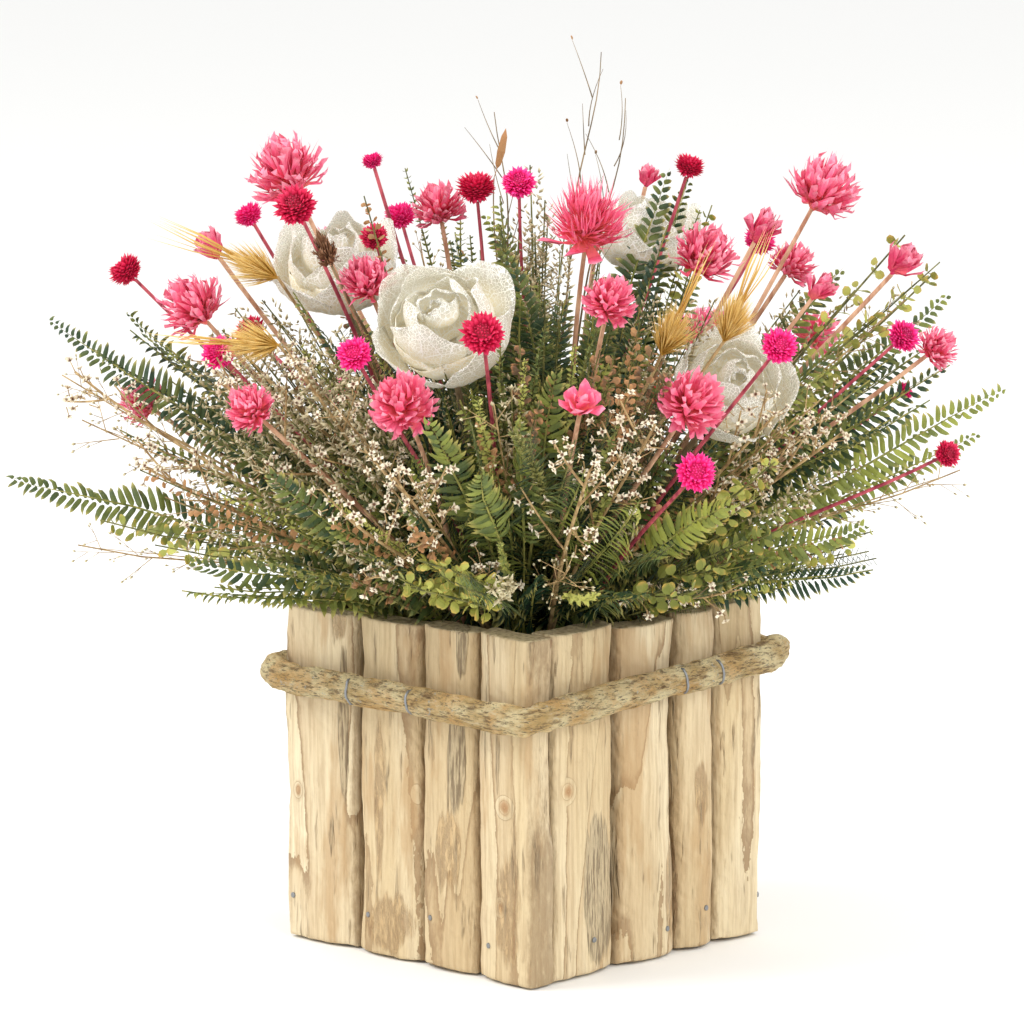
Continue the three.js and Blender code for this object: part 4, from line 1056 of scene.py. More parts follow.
def ballsAlong(line, shares):
    points = line.at(np.maximum(shares, stand["ballStart"]))
    balls = []
    for start, end in zip(points, points[1:]):
        count = math.ceil(np.linalg.norm(end - start) / stand["ballStep"])
        balls.append(start + (end - start) * np.linspace(0, 1, count + 1)[:, None])
    return np.vstack(balls)


def stemLine(foot, tip, lift, sway):
    reach = np.linalg.norm(tip - foot)
    lean = (tip - foot) / reach
    side = unit(np.cross(lean, up))
    launch = unit(lean + up * (stand["launch"] + lift))
    arrive = unit(tip - fountain)
    return Line(foot, foot + launch * reach * stand["handle"] + side * sway * stand["low"],
                tip - arrive * reach * stand["handle"] + side * sway, tip)


def findLine(owner, foot, tip, shares, radius, leafBallsOn=None):
    # The least crowded of a few ways to reach the tip
    margin = stand["lineRoom"]
    others = crowd.others(owner, np.minimum(foot, tip) - margin, np.maximum(foot, tip) + margin)
    best = None
    for lift in stand["lifts"]:
        for sway in stand["sways"]:
            line = stemLine(foot, tip, lift, sway)
            hits = 10 * countHits(ballsAlong(line, shares), radius, others)
            if leafBallsOn:
                hits += countHits(leafBallsOn(line), leafBall, others)
            if best is None or hits < best[0]:
                best = (hits, line)
            if hits == 0:
                return line
    return best[1]


leafBall = 1.2
leafForms = {
    "fern": {"radius": 1.2, "lean": 0.25, "droop": 0.12, "flat": True, "sides": lambda step: (0, 2),
             "profile": profileOf},
    "statice": {"radius": 0.7, "length": 4.5, "lean": 0.4, "sides": lambda step: (0, 1, 2),
                "start": 0.28, "steps": 3, "profile": lambda place: 1 + 0 * place},
    "round": {"radius": 1.0, "length": 8, "lean": 0.5, "sides": lambda step: (step % 3, (step + 1) % 3),
              "start": 0.5, "steps": 7, "profile": lambda place: 1 - 0.35 * place},
    "heath": {"radius": 1.2, "length": 5.5, "lean": 0.9, "sides": lambda step: (0, 1, 2),
              "start": 0.4, "steps": 8, "profile": lambda place: 1 - 0.3 * place},
}


def leavesOn(line, form):
    # Where each leaf of a stem grows: its root, tip and direction
    pairs = np.array([(step, side) for step in range(1, form["steps"] + 1)
                      for side in form["sides"](step)], float)
    place = (pairs[:, 0] - 0.5) / form["steps"]
    share = form["start"] + (1 - form["start"]) * place
    along = line.along(share)
    first = squareTo(along, np.broadcast_to(form["facing"], along.shape))
    second = np.cross(along, first)
    angle = ((2 * pairs[:, 1] + 1) * math.pi / 3)[:, None]
    if form.get("flat"):
        outward = second * np.sign(np.sin(angle)) - first * form["droop"]
    else:
        outward = first * np.cos(angle) + second * np.sin(angle)
    direction = unit(outward + along * form["lean"])
    root = line.at(share) + direction * form["radius"] * 0.5
    tip = root + direction * (form["length"] * form["profile"](place))[:, None]
    return root, tip, direction, first


def leafBalls(leaves):
    root, tip = leaves[0], leaves[1]
    return np.concatenate([root + (tip - root) * share for share in (0.4, 0.7, 0.95)])


def stemShares(form):
    start = form["start"]
    leafed = start + (1 - start) * np.arange(form["steps"] + 1) / form["steps"]
    return np.concatenate([[0, start / 2] if start > 0.3 else [0], leafed])


def settleStem(owner, line, form):
    # Takes the stem's room and that of each leaf which is free, and gives those leaves
    crowd.settle(owner, ballsAlong(line, stemShares(form)), form["radius"])
    leaves = leavesOn(line, form)
    kept = []
    for i in range(len(leaves[0])):
        one = [part[i:i + 1] for part in leaves]
        balls = leafBalls(one)
        low, high = balls.min(0) - stand["leafRoom"], balls.max(0) + stand["leafRoom"]
        if countHits(balls, leafBall, crowd.others(owner, low, high)) == 0:
            crowd.settle(owner, balls, leafBall)
            kept.append([part[0] for part in one])
    return kept


def leafyStem(owner, foot, tip, form):
    line = findLine(owner, foot, tip, stemShares(form), form["radius"],
                    lambda way: leafBalls(leavesOn(way, form)))
    return line, settleStem(owner, line, form)


statice = {"forks": [0.48, 0.62, 0.76, 0.9], "half": 0.008, "leans": [1.1, 0.5, 2], "width": 1.5,
           "radius": 1.1, "foot": 1.2, "taper": 0.5, "twig": 36, "shorter": 4, "apart": 3}


def ringRound(middle, along, radius, start):
    first = squareTo(along, start)
    second = np.cross(along, first)
    return [middle + (first * math.cos(a) + second * math.sin(a)) * radius
            for a in np.arange(3) * 2 * math.pi / 3]


def staticeStem(owner, foot, tip):
    ends = [share + side for share in statice["forks"] for side in (-statice["half"], statice["half"])]
    shares = np.array([0, 0.25, *ends, 1])
    line = findLine(owner, foot, tip, shares, statice["width"])
    crowd.settle(owner, ballsAlong(line, shares), statice["radius"])
    start = sideStart(line.along(0.5)[0])
    rings = [ringRound(line.at(s)[0], line.along(s)[0], statice["foot"] - statice["taper"] * s, start)
             for s in shares]
    twigs = []
    for fork, share in enumerate(statice["forks"]):
        length = statice["twig"] - statice["shorter"] * fork
        lower, upper = rings[2 * fork + 2], rings[2 * fork + 3]
        for side, lean in [((side + fork) % 3, lean) for side in range(3) for lean in statice["leans"]]:
            corners = [lower[side], lower[(side + 1) % 3], upper[(side + 1) % 3]]
            root = sum(corners) / 3
            normal = unit(np.cross(corners[1] - corners[0], corners[2] - corners[0]))
            direction = unit(normal + line.along(share)[0] * lean)
            bend = root + direction * length / 2
            twig = Line(root, bend, bend + direction * length / 2 + up * length / 8)
            room = crowd.others(owner, root - stand["twigRoom"], root + stand["twigRoom"])
            if countHits(ballsAlong(twig, np.array([0.3, 1])), statice["apart"], room) == 0:
                form = {**leafForms["statice"], "facing": corners[0] - root}
                twigs.append((twig, settleStem(owner, twig, form)))
                break
    return line, twigs


# What stands where, as [u, v, near, width] with the rest in pixels

coralFlowers = [
    [[285, 168, 10, 68], [210, 245, -30, 38]],
    [[190, 303, 20, 60], [140, 400, -20, 44]],
    [[247, 405, 95, 44], [400, 400, 125, 56]],
    [[365, 278, 55, 48], [438, 202, -10, 48]],
    [[590, 212, 55, 78], [610, 297, 100, 46]],
    [[583, 398, 140, 42], [694, 398, 112, 58]],
    [[707, 252, 50, 58], [763, 226, 16, 42], [795, 260, -25, 42]],
    [[826, 186, -20, 64], [821, 287, 15, 36], [904, 261, -10, 42], [940, 345, 10, 40]],
    [[600, 225, -90, 60], [648, 176, -70, 28], [705, 330, -130, 52], [820, 330, -95, 46]],
    [[470, 300, -140, 54], [330, 250, -95, 50], [345, 395, -130, 44], [560, 410, -160, 46]],
]
coralKinds = [
    ["brush", "funnel"], ["brush", "brush"], ["ruffled", "ruffled"], ["brush", "ruffled"],
    ["fibre", "ruffled"], ["open", "ruffled"], ["brush", "funnel", "ruffled"],
    ["brush", "funnel", "funnel", "ruffled"],
    ["brush", "funnel", "brush", "ruffled"], ["ruffled", "brush", "funnel", "brush"],
]
globeFlowers = [
    [[125, 269, -10, 36], [248, 214, -45, 30]],
    [[215, 349, 50, 35], [293, 200, 47, 42]],
    [[352, 350, 110, 34], [482, 328, 122, 42]],
    [[372, 160, -40, 22], [373, 233, 30, 28], [476, 186, 12, 40]],
    [[519, 178, 22, 34], [690, 165, -10, 31]],
    [[783, 342, 95, 36], [699, 469, 150, 38]],
    [[907, 333, 22, 33], [951, 452, 40, 27], [905, 391, -30, 20]],
    [[250, 330, -105, 34], [400, 215, -95, 34], [650, 395, -155, 38], [760, 240, -95, 34]],
]
skeletonRoses = [[440, 308, 68, 128], [322, 262, -12, 118], [744, 372, 40, 112], [660, 232, -40, 104]]
# Fronds as [u, v, near, length of the blade, half its width], the last two in millimetres
fernFronds = [
    [[5, 479, 30, 140, 16], [262, 470, 112, 68, 13], [180, 560, 70, 80, 13]],
    [[45, 318, -15, 120, 15], [122, 310, -62, 95, 13], [205, 430, 20, 75, 13]],
    [[1008, 385, 15, 140, 16], [985, 432, -30, 95, 12], [812, 556, 20, 80, 13]],
    [[955, 291, -45, 105, 13], [846, 262, -40, 80, 12]],
    [[872, 525, 85, 92, 14], [738, 498, 148, 82, 13]],
    [[428, 415, 150, 105, 15], [556, 365, 128, 85, 13], [478, 470, 158, 70, 13]],
    [[672, 165, -12, 110, 15], [505, 245, 62, 95, 13], [612, 270, 25, 90, 14]],
    [[300, 420, -165, 110, 14], [640, 420, -185, 110, 15], [900, 390, -120, 110, 14],
     [480, 210, -100, 90, 13]],
]
fernTones = [0.12, 0.1, 0.42, 0.2, 0.4, 0.28, 0.06, 0.3]
staticeSprays = [
    [[225, 385, 85], [300, 372, 95]],
    [[395, 478, 150], [350, 520, 128]],
    [[655, 425, 138], [590, 470, 165]],
    [[775, 415, 70], [838, 436, 60]],
    [[75, 372, -5], [150, 470, 45]],
]
roundLeafSprays = [
    [[418, 560, 118], [402, 585, 105]],
    [[775, 462, 98], [850, 545, 40]],
    [[935, 272, -28], [905, 235, -30]],
]
heathStems = [[512, 432, 150], [500, 225, 40], [632, 352, 92], [330, 450, 60], [670, 380, -105]]
goldenTails = [[262, 252, 22], [262, 322, 62], [738, 318, 78], [672, 330, 70]]
tailWidth = 62
bareTwigs = [[598, 52, -12], [627, 98, -8], [499, 112, -20]]
# The curled dry leaf beside the thin twig, and its stalk
dryLeaf = {"line": [[494, 178, -16], [500, 160, -14], [506, 128, -18]], "wide": 0.8,
           "stalk": [[497, 260, -10], [492, 215, -14], [494, 178, -16]]}
darkBud = {"place": (332, 266, 60), "size": (10.5, 10.5, 22.0)}
leafletPitch = 7.2


def listPlants():
    plants = []

    def add(name, groups, kind):
        for i, group in enumerate(groups):
            node = "%s_%d" % (name, i + 1) if len(groups) > 1 else name
            plants.append({"node": node, "kind": kind, "group": group, "index": i})
    add("skeleton_rose", [[head] for head in skeletonRoses], "rose")
    add("coral_flowers", coralFlowers, "coral")
    add("globe_flowers", globeFlowers, "globe")
    add("golden_tails", [[[*head, tailWidth] for head in goldenTails]], "tail")
    add("fern_fronds", fernFronds, "fern")
    add("statice_spray", staticeSprays, "statice")
    add("round_leaf_spray", roundLeafSprays, "round")
    add("bare_twigs", [bareTwigs], "twig")
    add("heath_stems", [heathStems], "heath")
    return plants


def spreadFeet(plants):
    # Feet stand below their tips' side of the planter, then push each other apart
    feet = []
    for plant in plants:
        mean = np.mean([spot(*target[:3]) for target in plant["group"]], 0)
        share = stand["footReach"] * 1.4 / (math.hypot(mean[0], mean[1]) + mean[2] - stand["foamTop"])
        feet.append(np.array([mean[0] * share, mean[1] * share, stand["foamTop"] + 2]))
    for _ in range(200):
        for i in range(len(feet)):
            for j in range(i):
                apart = feet[i] - feet[j]
                far = math.sqrt(apart @ apart)
                if far < stand["footSpacing"]:
                    push = apart / far * (stand["footSpacing"] - far) / 2
                    feet[i] = feet[i] + push
                    feet[j] = feet[j] - push
        for foot in feet:
            foot[:2] = np.clip(foot[:2], -stand["footReach"], stand["footReach"])
    return feet


headStyles = {
    "rose": {"seat": 0.45, "thick": 1.8, "thin": 1.5, "stem": "woodyStem", "slot": "cream_petal",
             "sweep": [(-0.1, 0.3, 1.1), (0.2, 0.2, 0.5), (0.0, 0.1, 1.2), (-0.2, 0.3, 0.4)]},
    "coral": {"seat": 0.45, "thick": 1.4, "thin": 1.0, "stem": "coralStem", "slot": "coral_bract",
              "swell": 1.16},
    "globe": {"seat": 0.42, "thick": 1.1, "thin": 0.8, "stem": "magentaStem", "slot": "magenta_bract"},
    "tail": {"seat": 0.5, "thick": 0.9, "thin": 0.7, "stem": "wiryStem", "slot": "golden_grass",
             "sweep": [(-1.6, 0.2, 0.2), (-1.4, -0.6, 0.3), (0, 0.4, 0.2), (0.2, 0.4, 0.2)]},
}


def growTubes(name, tubes, finish, sides=1, scale=metre):
    # Round tapered tubes along lines: each is (points, radii) in millimetres
    curve = bpy.data.curves.new(name, "CURVE")
    curve.dimensions = "3D"
    curve.bevel_depth = scale
    curve.bevel_resolution = sides
    curve.use_fill_caps = True
    for points, radii in tubes:
        spline = curve.splines.new("POLY")
        spline.points.add(len(points) - 1)
        places = np.column_stack([np.array(points) * scale, np.ones(len(points))])
        spline.points.foreach_set("co", places.ravel())
        spline.points.foreach_set("radius", np.broadcast_to(radii, len(points)).astype(np.float32))
    activate(addObject(name, curve))
    bpy.ops.object.convert(target="MESH")
    piece = bpy.context.object
    setLevel(piece, "tone", 0.5)
    setLevel(piece, "reach", 0.3)
    paint(piece, finish)
    bpy.ops.object.shade_smooth()
    return piece


def tubeOf(line, thick, thin, steps=10):
    shares = np.linspace(0, 1, steps + 1)
    return line.at(shares), thick + (thin - thick) * shares


# The taped wire that a bunch stands on in the foam, as (height over the foam, radius)
footRings = [(-stand["footDepth"], 1.5), (0, 2.3), (3, 2.3), (stand["footRise"], 1.6)]


def footTube(foot):
    heights, radii = np.array(footRings).T
    points = np.column_stack([np.tile(foot[:2], (len(heights), 1)), stand["foamTop"] + heights])
    return points, radii


bendStations = 41


def bendAlong(template, line, start, end, facingWay, wide=1.0, tone=0.0, twist=0.0):
    # A copy of a straight frond or sprig, laid along a stretch of a line
    piece = copyOf(template, Matrix.Identity(4), tone)
    points = pointsOf(piece)
    shares = np.clip(start + (end - start) * points[:, 1] / points[:, 1].max(), 0, 1)
    stations = np.linspace(0, 1, bendStations)
    middles, alongs = line.at(stations), line.along(stations)
    flats = squareTo(alongs, np.broadcast_to(facingWay, alongs.shape))
    sides = np.cross(alongs, flats)
    turn = (twist * (stations - start))[:, None]
    sides, flats = sides * np.cos(turn) + flats * np.sin(turn), flats * np.cos(turn) - sides * np.sin(turn)
    lay = [np.column_stack([np.interp(shares, stations, rows[:, k]) for k in range(3)])
           for rows in (middles, sides, flats)]
    setPoints(piece, (lay[0] + lay[1] * points[:, :1] * wide + lay[2] * points[:, 2:] * wide) * metre)
    return piece


def bendTo(line, start, end):
    return float(np.linalg.norm(np.diff(line.at(np.linspace(start, end, 20)), axis=0), axis=1).sum())


def frondFacing(tip, near):
    away = tip - fountain
    return unit(np.array([away[0], away[1], 90.0])) if near < -60 else pictureBack


def layFrond(line, start, halfWidth, facingWay, tone, twist=0.0):
    # The straight frond of the nearest length, laid along the line
    blade = bendTo(line, start, 1)
    frond = min(fronds, key=lambda f: abs(f.dimensions.y - blade))
    return bendAlong(frond, line, start, 1, facingWay, halfWidth / fernBlade["half"], tone, twist)


crimsonGlobes = {125, 293, 373, 476, 482, 690, 951, 250, 650}  # the redder heads, by their u


def gather(plant, ending, stem, tubes, parts):
    return joinAll(plant["node"] + ending, [growTubes("stems", tubes, stem)] + parts)


def makeBunch(plant, foot, draw):
    style = headStyles[plant["kind"]]
    tubes, parts = [footTube(foot)], []
    for k, (u, v, near, pixels) in enumerate(plant["group"]):
        width = pixels * view["pixel"]
        middle = spot(u, v, near)
        axis = unit(middle - fountain)
        base = middle - axis * style["seat"] * width
        shares = np.linspace(0, 1, 4)
        line = findLine(plant["owner"], foot, base, shares, style["thick"])
        crowd.settle(plant["owner"], ballsAlong(line, shares), style["thick"])
        points, radii = tubeOf(line, style["thick"], style["thin"], 12)
        tubes.append((np.vstack([points, base + axis * 0.03 * width]), np.append(radii, style["thin"])))
        head, tone = heads[plant["kind"]], draw(-0.25, 0.25)
        if plant["kind"] == "coral":
            coralKind = coralKinds[plant["index"]][k]
            head = head[coralKind]
            tone += coralBloom["deepened"].get(coralKind, 0)
        # In the photograph some heads bend away from their stems: to its right, up or toward the viewer
        forward = (0, 0, 0.9 if plant["kind"] == "globe" and near > 20 else 0)
        bend = style.get("sweep", {k: forward})[plant["index"] if plant["kind"] == "rose" else k]
        axis = unit(axis + pictureRight * bend[0] + pictureUp * bend[1] + pictureBack * bend[2])
        turn = turnTo(axis) @ Matrix.Rotation(draw(0, 6.28), 4, "Z")
        size = Matrix.Scale(width * style.get("swell", 1), 4)
        parts.append(copyOf(head, onward @ Matrix.Translation(Vector(base)) @ turn @ size, tone))
        if plant["kind"] == "globe" and u in crimsonGlobes:
            paint(parts[-1], "crimson")
    return gather(plant, "Bloom", style["stem"], tubes, parts), style["slot"]


def makeFerns(plant, foot, draw):
    tubes, parts = [footTube(foot)], []
    for u, v, near, blade, halfWidth in plant["group"]:
        tip = spot(u, v, near)
        form = {**leafForms["fern"], "facing": frondFacing(tip, near), "length": halfWidth,
                "start": 1 - blade / np.linalg.norm(tip - foot), "steps": round(blade / leafletPitch)}
        line, _ = leafyStem(plant["owner"], foot, tip, form)
        parts.append(layFrond(line, form["start"], halfWidth, form["facing"],
                              fernTones[plant["index"]] + draw(-0.08, 0.08), draw(-0.9, 0.9)))
        points, radii = tubeOf(line, 0.95, 0.5)
        keep = np.linspace(0, 1, len(points)) <= form["start"] + 0.1
        tubes.append((points[keep], radii[keep]))
    return gather(plant, "Fronds", "fernRib", tubes, parts), "fern_leaf"


def clusterOf(root, tip, draw, count, spread, scale=onward):
    # Short side stalks round a twig's end, each with a floret
    tubes, florets = [], []
    along = tip - root
    for _ in range(count):
        share = draw(0.15, 1.0)
        start = root + along * share
        away = unit(np.array([draw(-1, 1), draw(-1, 1), draw(-0.5, 1)]) + unit(along) * 0.9)
        end = start + away * spread * draw(0.5, 1.0)
        tubes.append((np.array([start, end]), np.array([0.28, 0.2])))
        florets.append(copyOf(floret, scale @ facing(np.cross(away, up + 0.01), away, end, draw(0.75, 1.15)),
                              draw(0.2, 0.9)))
    return tubes, florets


def makeStatice(plant, foot, draw):
    tubes, parts = [footTube(foot)], []
    for target in plant["group"]:
        line, twigs = staticeStem(plant["owner"], foot, spot(*target))
        tubes.append(tubeOf(line, 1.1, 0.6))
        for twig, leaves in twigs:
            tubes.append(tubeOf(twig, 0.6, 0.35, 5))
            for root, tip, *_ in leaves:
                more, florets = clusterOf(root, tip, draw, 1, 5)
                tubes += more
                parts += florets
        more, florets = clusterOf(line.at(0.9)[0], line.at(1)[0], draw, 6, 8)
        tubes += more
        parts += florets
    return gather(plant, "Spray", "wiryStem", tubes, parts), "cream_floret"


def leafCopies(template, leaves, draw, tone, grow=1.0):
    parts = []
    for root, tip, direction, flat in leaves:
        normal = flat + np.array([draw(-0.6, 0.6), draw(-0.6, 0.6), draw(0, 0.5)])
        size = np.linalg.norm(tip - root) / 8 * grow * draw(0.85, 1.15)
        parts.append(copyOf(template, onward @ facing(direction, normal, root, size),
                            tone + draw(-0.25, 0.25)))
    return parts


def makeRoundLeaves(plant, foot, draw):
    form = {**leafForms["round"], "facing": pictureBack}
    tubes, parts = [footTube(foot)], []
    for target in plant["group"]:
        line, leaves = leafyStem(plant["owner"], foot, spot(*target), form)
        tubes.append(tubeOf(line, 0.9, 0.4))
        parts += leafCopies(roundLeaf, leaves, draw, 0.5)
        extra = leavesOn(line, {**form, "facing": up, "steps": 9, "start": 0.45})
        parts += leafCopies(roundLeaf, list(zip(*extra)), draw, 0.35, 0.85)
    return gather(plant, "Leaves", "greenStem", tubes, parts), "round_leaf"


def makeHeath(plant, foot, draw):
    form = {**leafForms["heath"], "facing": pictureBack}
    tubes, parts = [footTube(foot)], []
    for target in plant["group"]:
        line, _ = leafyStem(plant["owner"], foot, spot(*target), form)
        tubes.append(tubeOf(line, 0.9, 0.4))
        for turn in range(3):
            wide = leavesOn(line, {**form, "facing": unit(np.array([math.cos(turn), math.sin(turn), 0.3])),
                                   "steps": 22, "length": 5.0})
            parts += leafCopies(heathLeaf, list(zip(*wide)), draw, 0.4, 2.0)
    return gather(plant, "Needles", "greenStem", tubes, parts), "heath_leaf"


twigForm = {"radius": 1.2, "thick": 1.0, "thin": 0.2, "steps": 24, "waves": 15, "sway": 2.2,
            "curls": 7, "first": 0.62, "pitch": 0.05, "reach": 22, "bend": 12, "curlThick": 0.28,
            "curlThin": 0.09}


def makeTwigs(plant, foot, draw):
    tubes, parts = [footTube(foot)], []
    shares = np.linspace(0, 1, 6)
    for k, target in enumerate(plant["group"]):
        line = findLine(plant["owner"], foot, spot(*target), shares, twigForm["radius"])
        crowd.settle(plant["owner"], ballsAlong(line, shares), twigForm["radius"])
        points, radii = tubeOf(line, twigForm["thick"], twigForm["thin"], twigForm["steps"])
        along = np.linspace(0, 1, len(points))[:, None]
        sway = np.sin(along * twigForm["waves"] + k) * along * twigForm["sway"]
        tubes.append((points + sway * pictureRight, radii))
        for i in range(twigForm["curls"]):
            share = twigForm["first"] + twigForm["pitch"] * i
            root = line.at(share)[0]
            away = unit(line.along(share)[0] * 1.6 + pictureRight * draw(-0.9, 0.9)
                        + towardEye * draw(-0.7, 0.7))
            bent = root + away * twigForm["reach"] + pictureRight * draw(-9, 9) + up * draw(2, 9)
            curl = Line(root, root + away * twigForm["bend"], bent)
            tubes.append(tubeOf(curl, twigForm["curlThick"], twigForm["curlThin"], 7))
            if i % 3 == 0:
                place = onward @ facing(away, up, bent, draw(0.25, 0.4))
                parts.append(copyOf(brownLeaf, place, draw(0.2, 0.8)))
    dry = Line(*(spot(*place) for place in dryLeaf["line"]))
    leaf = bendAlong(brownLeaf, dry, 0, 1, pictureBack, dryLeaf["wide"], 0.9)
    tubes.append(tubeOf(Line(*(spot(*place) for place in dryLeaf["stalk"])), 0.35, 0.3, 6))
    top = spot(*darkBud["place"])
    stalk = stemLine(foot, top, 0.5, 4)
    tubes.append(tubeOf(stalk, 1.0, 0.6))
    place = onward @ Matrix.Translation(Vector(top)) @ turnTo(stalk.along(1)[0])
    bud = copyOf(heads["coral"]["brush"], place @ Matrix.Diagonal((*darkBud["size"], 1)))
    paint(bud, "bud")
    parts += [growTubes("twigs", tubes, "woodyStem"), leaf, bud]
    return joinAll(plant["node"] + "Twigs", parts[::-1]), "bare_twig"


makers = {"rose": makeBunch, "coral": makeBunch, "globe": makeBunch, "tail": makeBunch, "fern": makeFerns,
          "statice": makeStatice, "round": makeRoundLeaves, "heath": makeHeath, "twig": makeTwigs}


def makePlants():
    plants = listPlants()
    feet = spreadFeet(plants)
    for owner, (plant, foot) in enumerate(zip(plants, feet)):
        plant["owner"] = owner
        crowd.settle(owner, foot[None], stand["footRadius"])
        if len(plant["group"][0]) == 4:
            for u, v, near, pixels in plant["group"]:
                crowd.settle(owner, spot(u, v, near)[None], pixels * view["pixel"] * 0.5)
    for plant, foot in zip(plants, feet):
        piece, slot = makers[plant["kind"]](plant, foot, drawer(seeds["plants"] + plant["owner"]))
        handIn(piece, slot, [plant["node"]])
    print("plants:", len(plants))


# The filling between the stems
# Sprigs of each name: template, count, rise in degrees, reach, laid length, width, tone, slot and stem
fillerKeys = ("kind", "count", "rise", "reach", "blade", "wide", "tone", "slot", "stem")
fillers = {
    "frond": ("frond", 84, (16, 84), (105, 172), (85, 125), (0.85, 1.15), (-0.15, 0.4), "fern_leaf",
              "fernRib"),
    # deep: darker fronds set further in, as painted shade in the arrangement's core
    "deep": ("frond", 62, (22, 86), (85, 150), (85, 110), (1.0, 1.3), (-0.6, -0.2), "fern_leaf", "fernRib"),
    "needle": ("needle", 88, (16, 84), (92, 172), (80, 105), (0.9, 1.35), (-0.1, 0.5), "heath_leaf",
               "greenStem"),
    "brush": ("brush", 44, (12, 60), (62, 112), (45, 62), (1.0, 1.5), (0.0, 0.4), "heath_leaf", "greenStem"),
    "thyme": ("thyme", 46, (18, 82), (112, 176), (75, 95), (1.0, 1.35), (0.0, 0.9), "heath_leaf",
              "greenStem"),
    "pod": ("pod", 32, (24, 80), (118, 178), (80, 100), (1.0, 1.25), (0.0, 0.9), "bare_twig", "greenStem"),
    "husk": ("husk", 32, (24, 80), (125, 182), (75, 100), (1.1, 1.5), (0.1, 0.9), "cream_floret",
             "greenStem"),
    "coin": ("coin", 16, (13, 30), (95, 145), (60, 80), (0.9, 1.1), (-0.1, 0.6), "round_leaf", "greenStem"),
    "statice": ("statice", 10, (18, 60), (112, 168), (75, 95), (0.9, 1.1), (-0.2, 0.3), "cream_floret",
                "wiryStem"),
    "wisp": ("wisp", 15, (14, 60), (150, 195), (80, 110), (1.0, 1.3), (0.0, 0.6), "bare_twig", "wiryStem"),
}
fillingForm = {"peak": 0.17, "lowest": 596.0, "headRoom": 0.5, "before": 0.55, "footReach": 46,
               "turn": 2.39996, "offset": 0.31, "tries": 4, "step": 0.13, "stemThick": 0.6, "stemThin": 0.3}
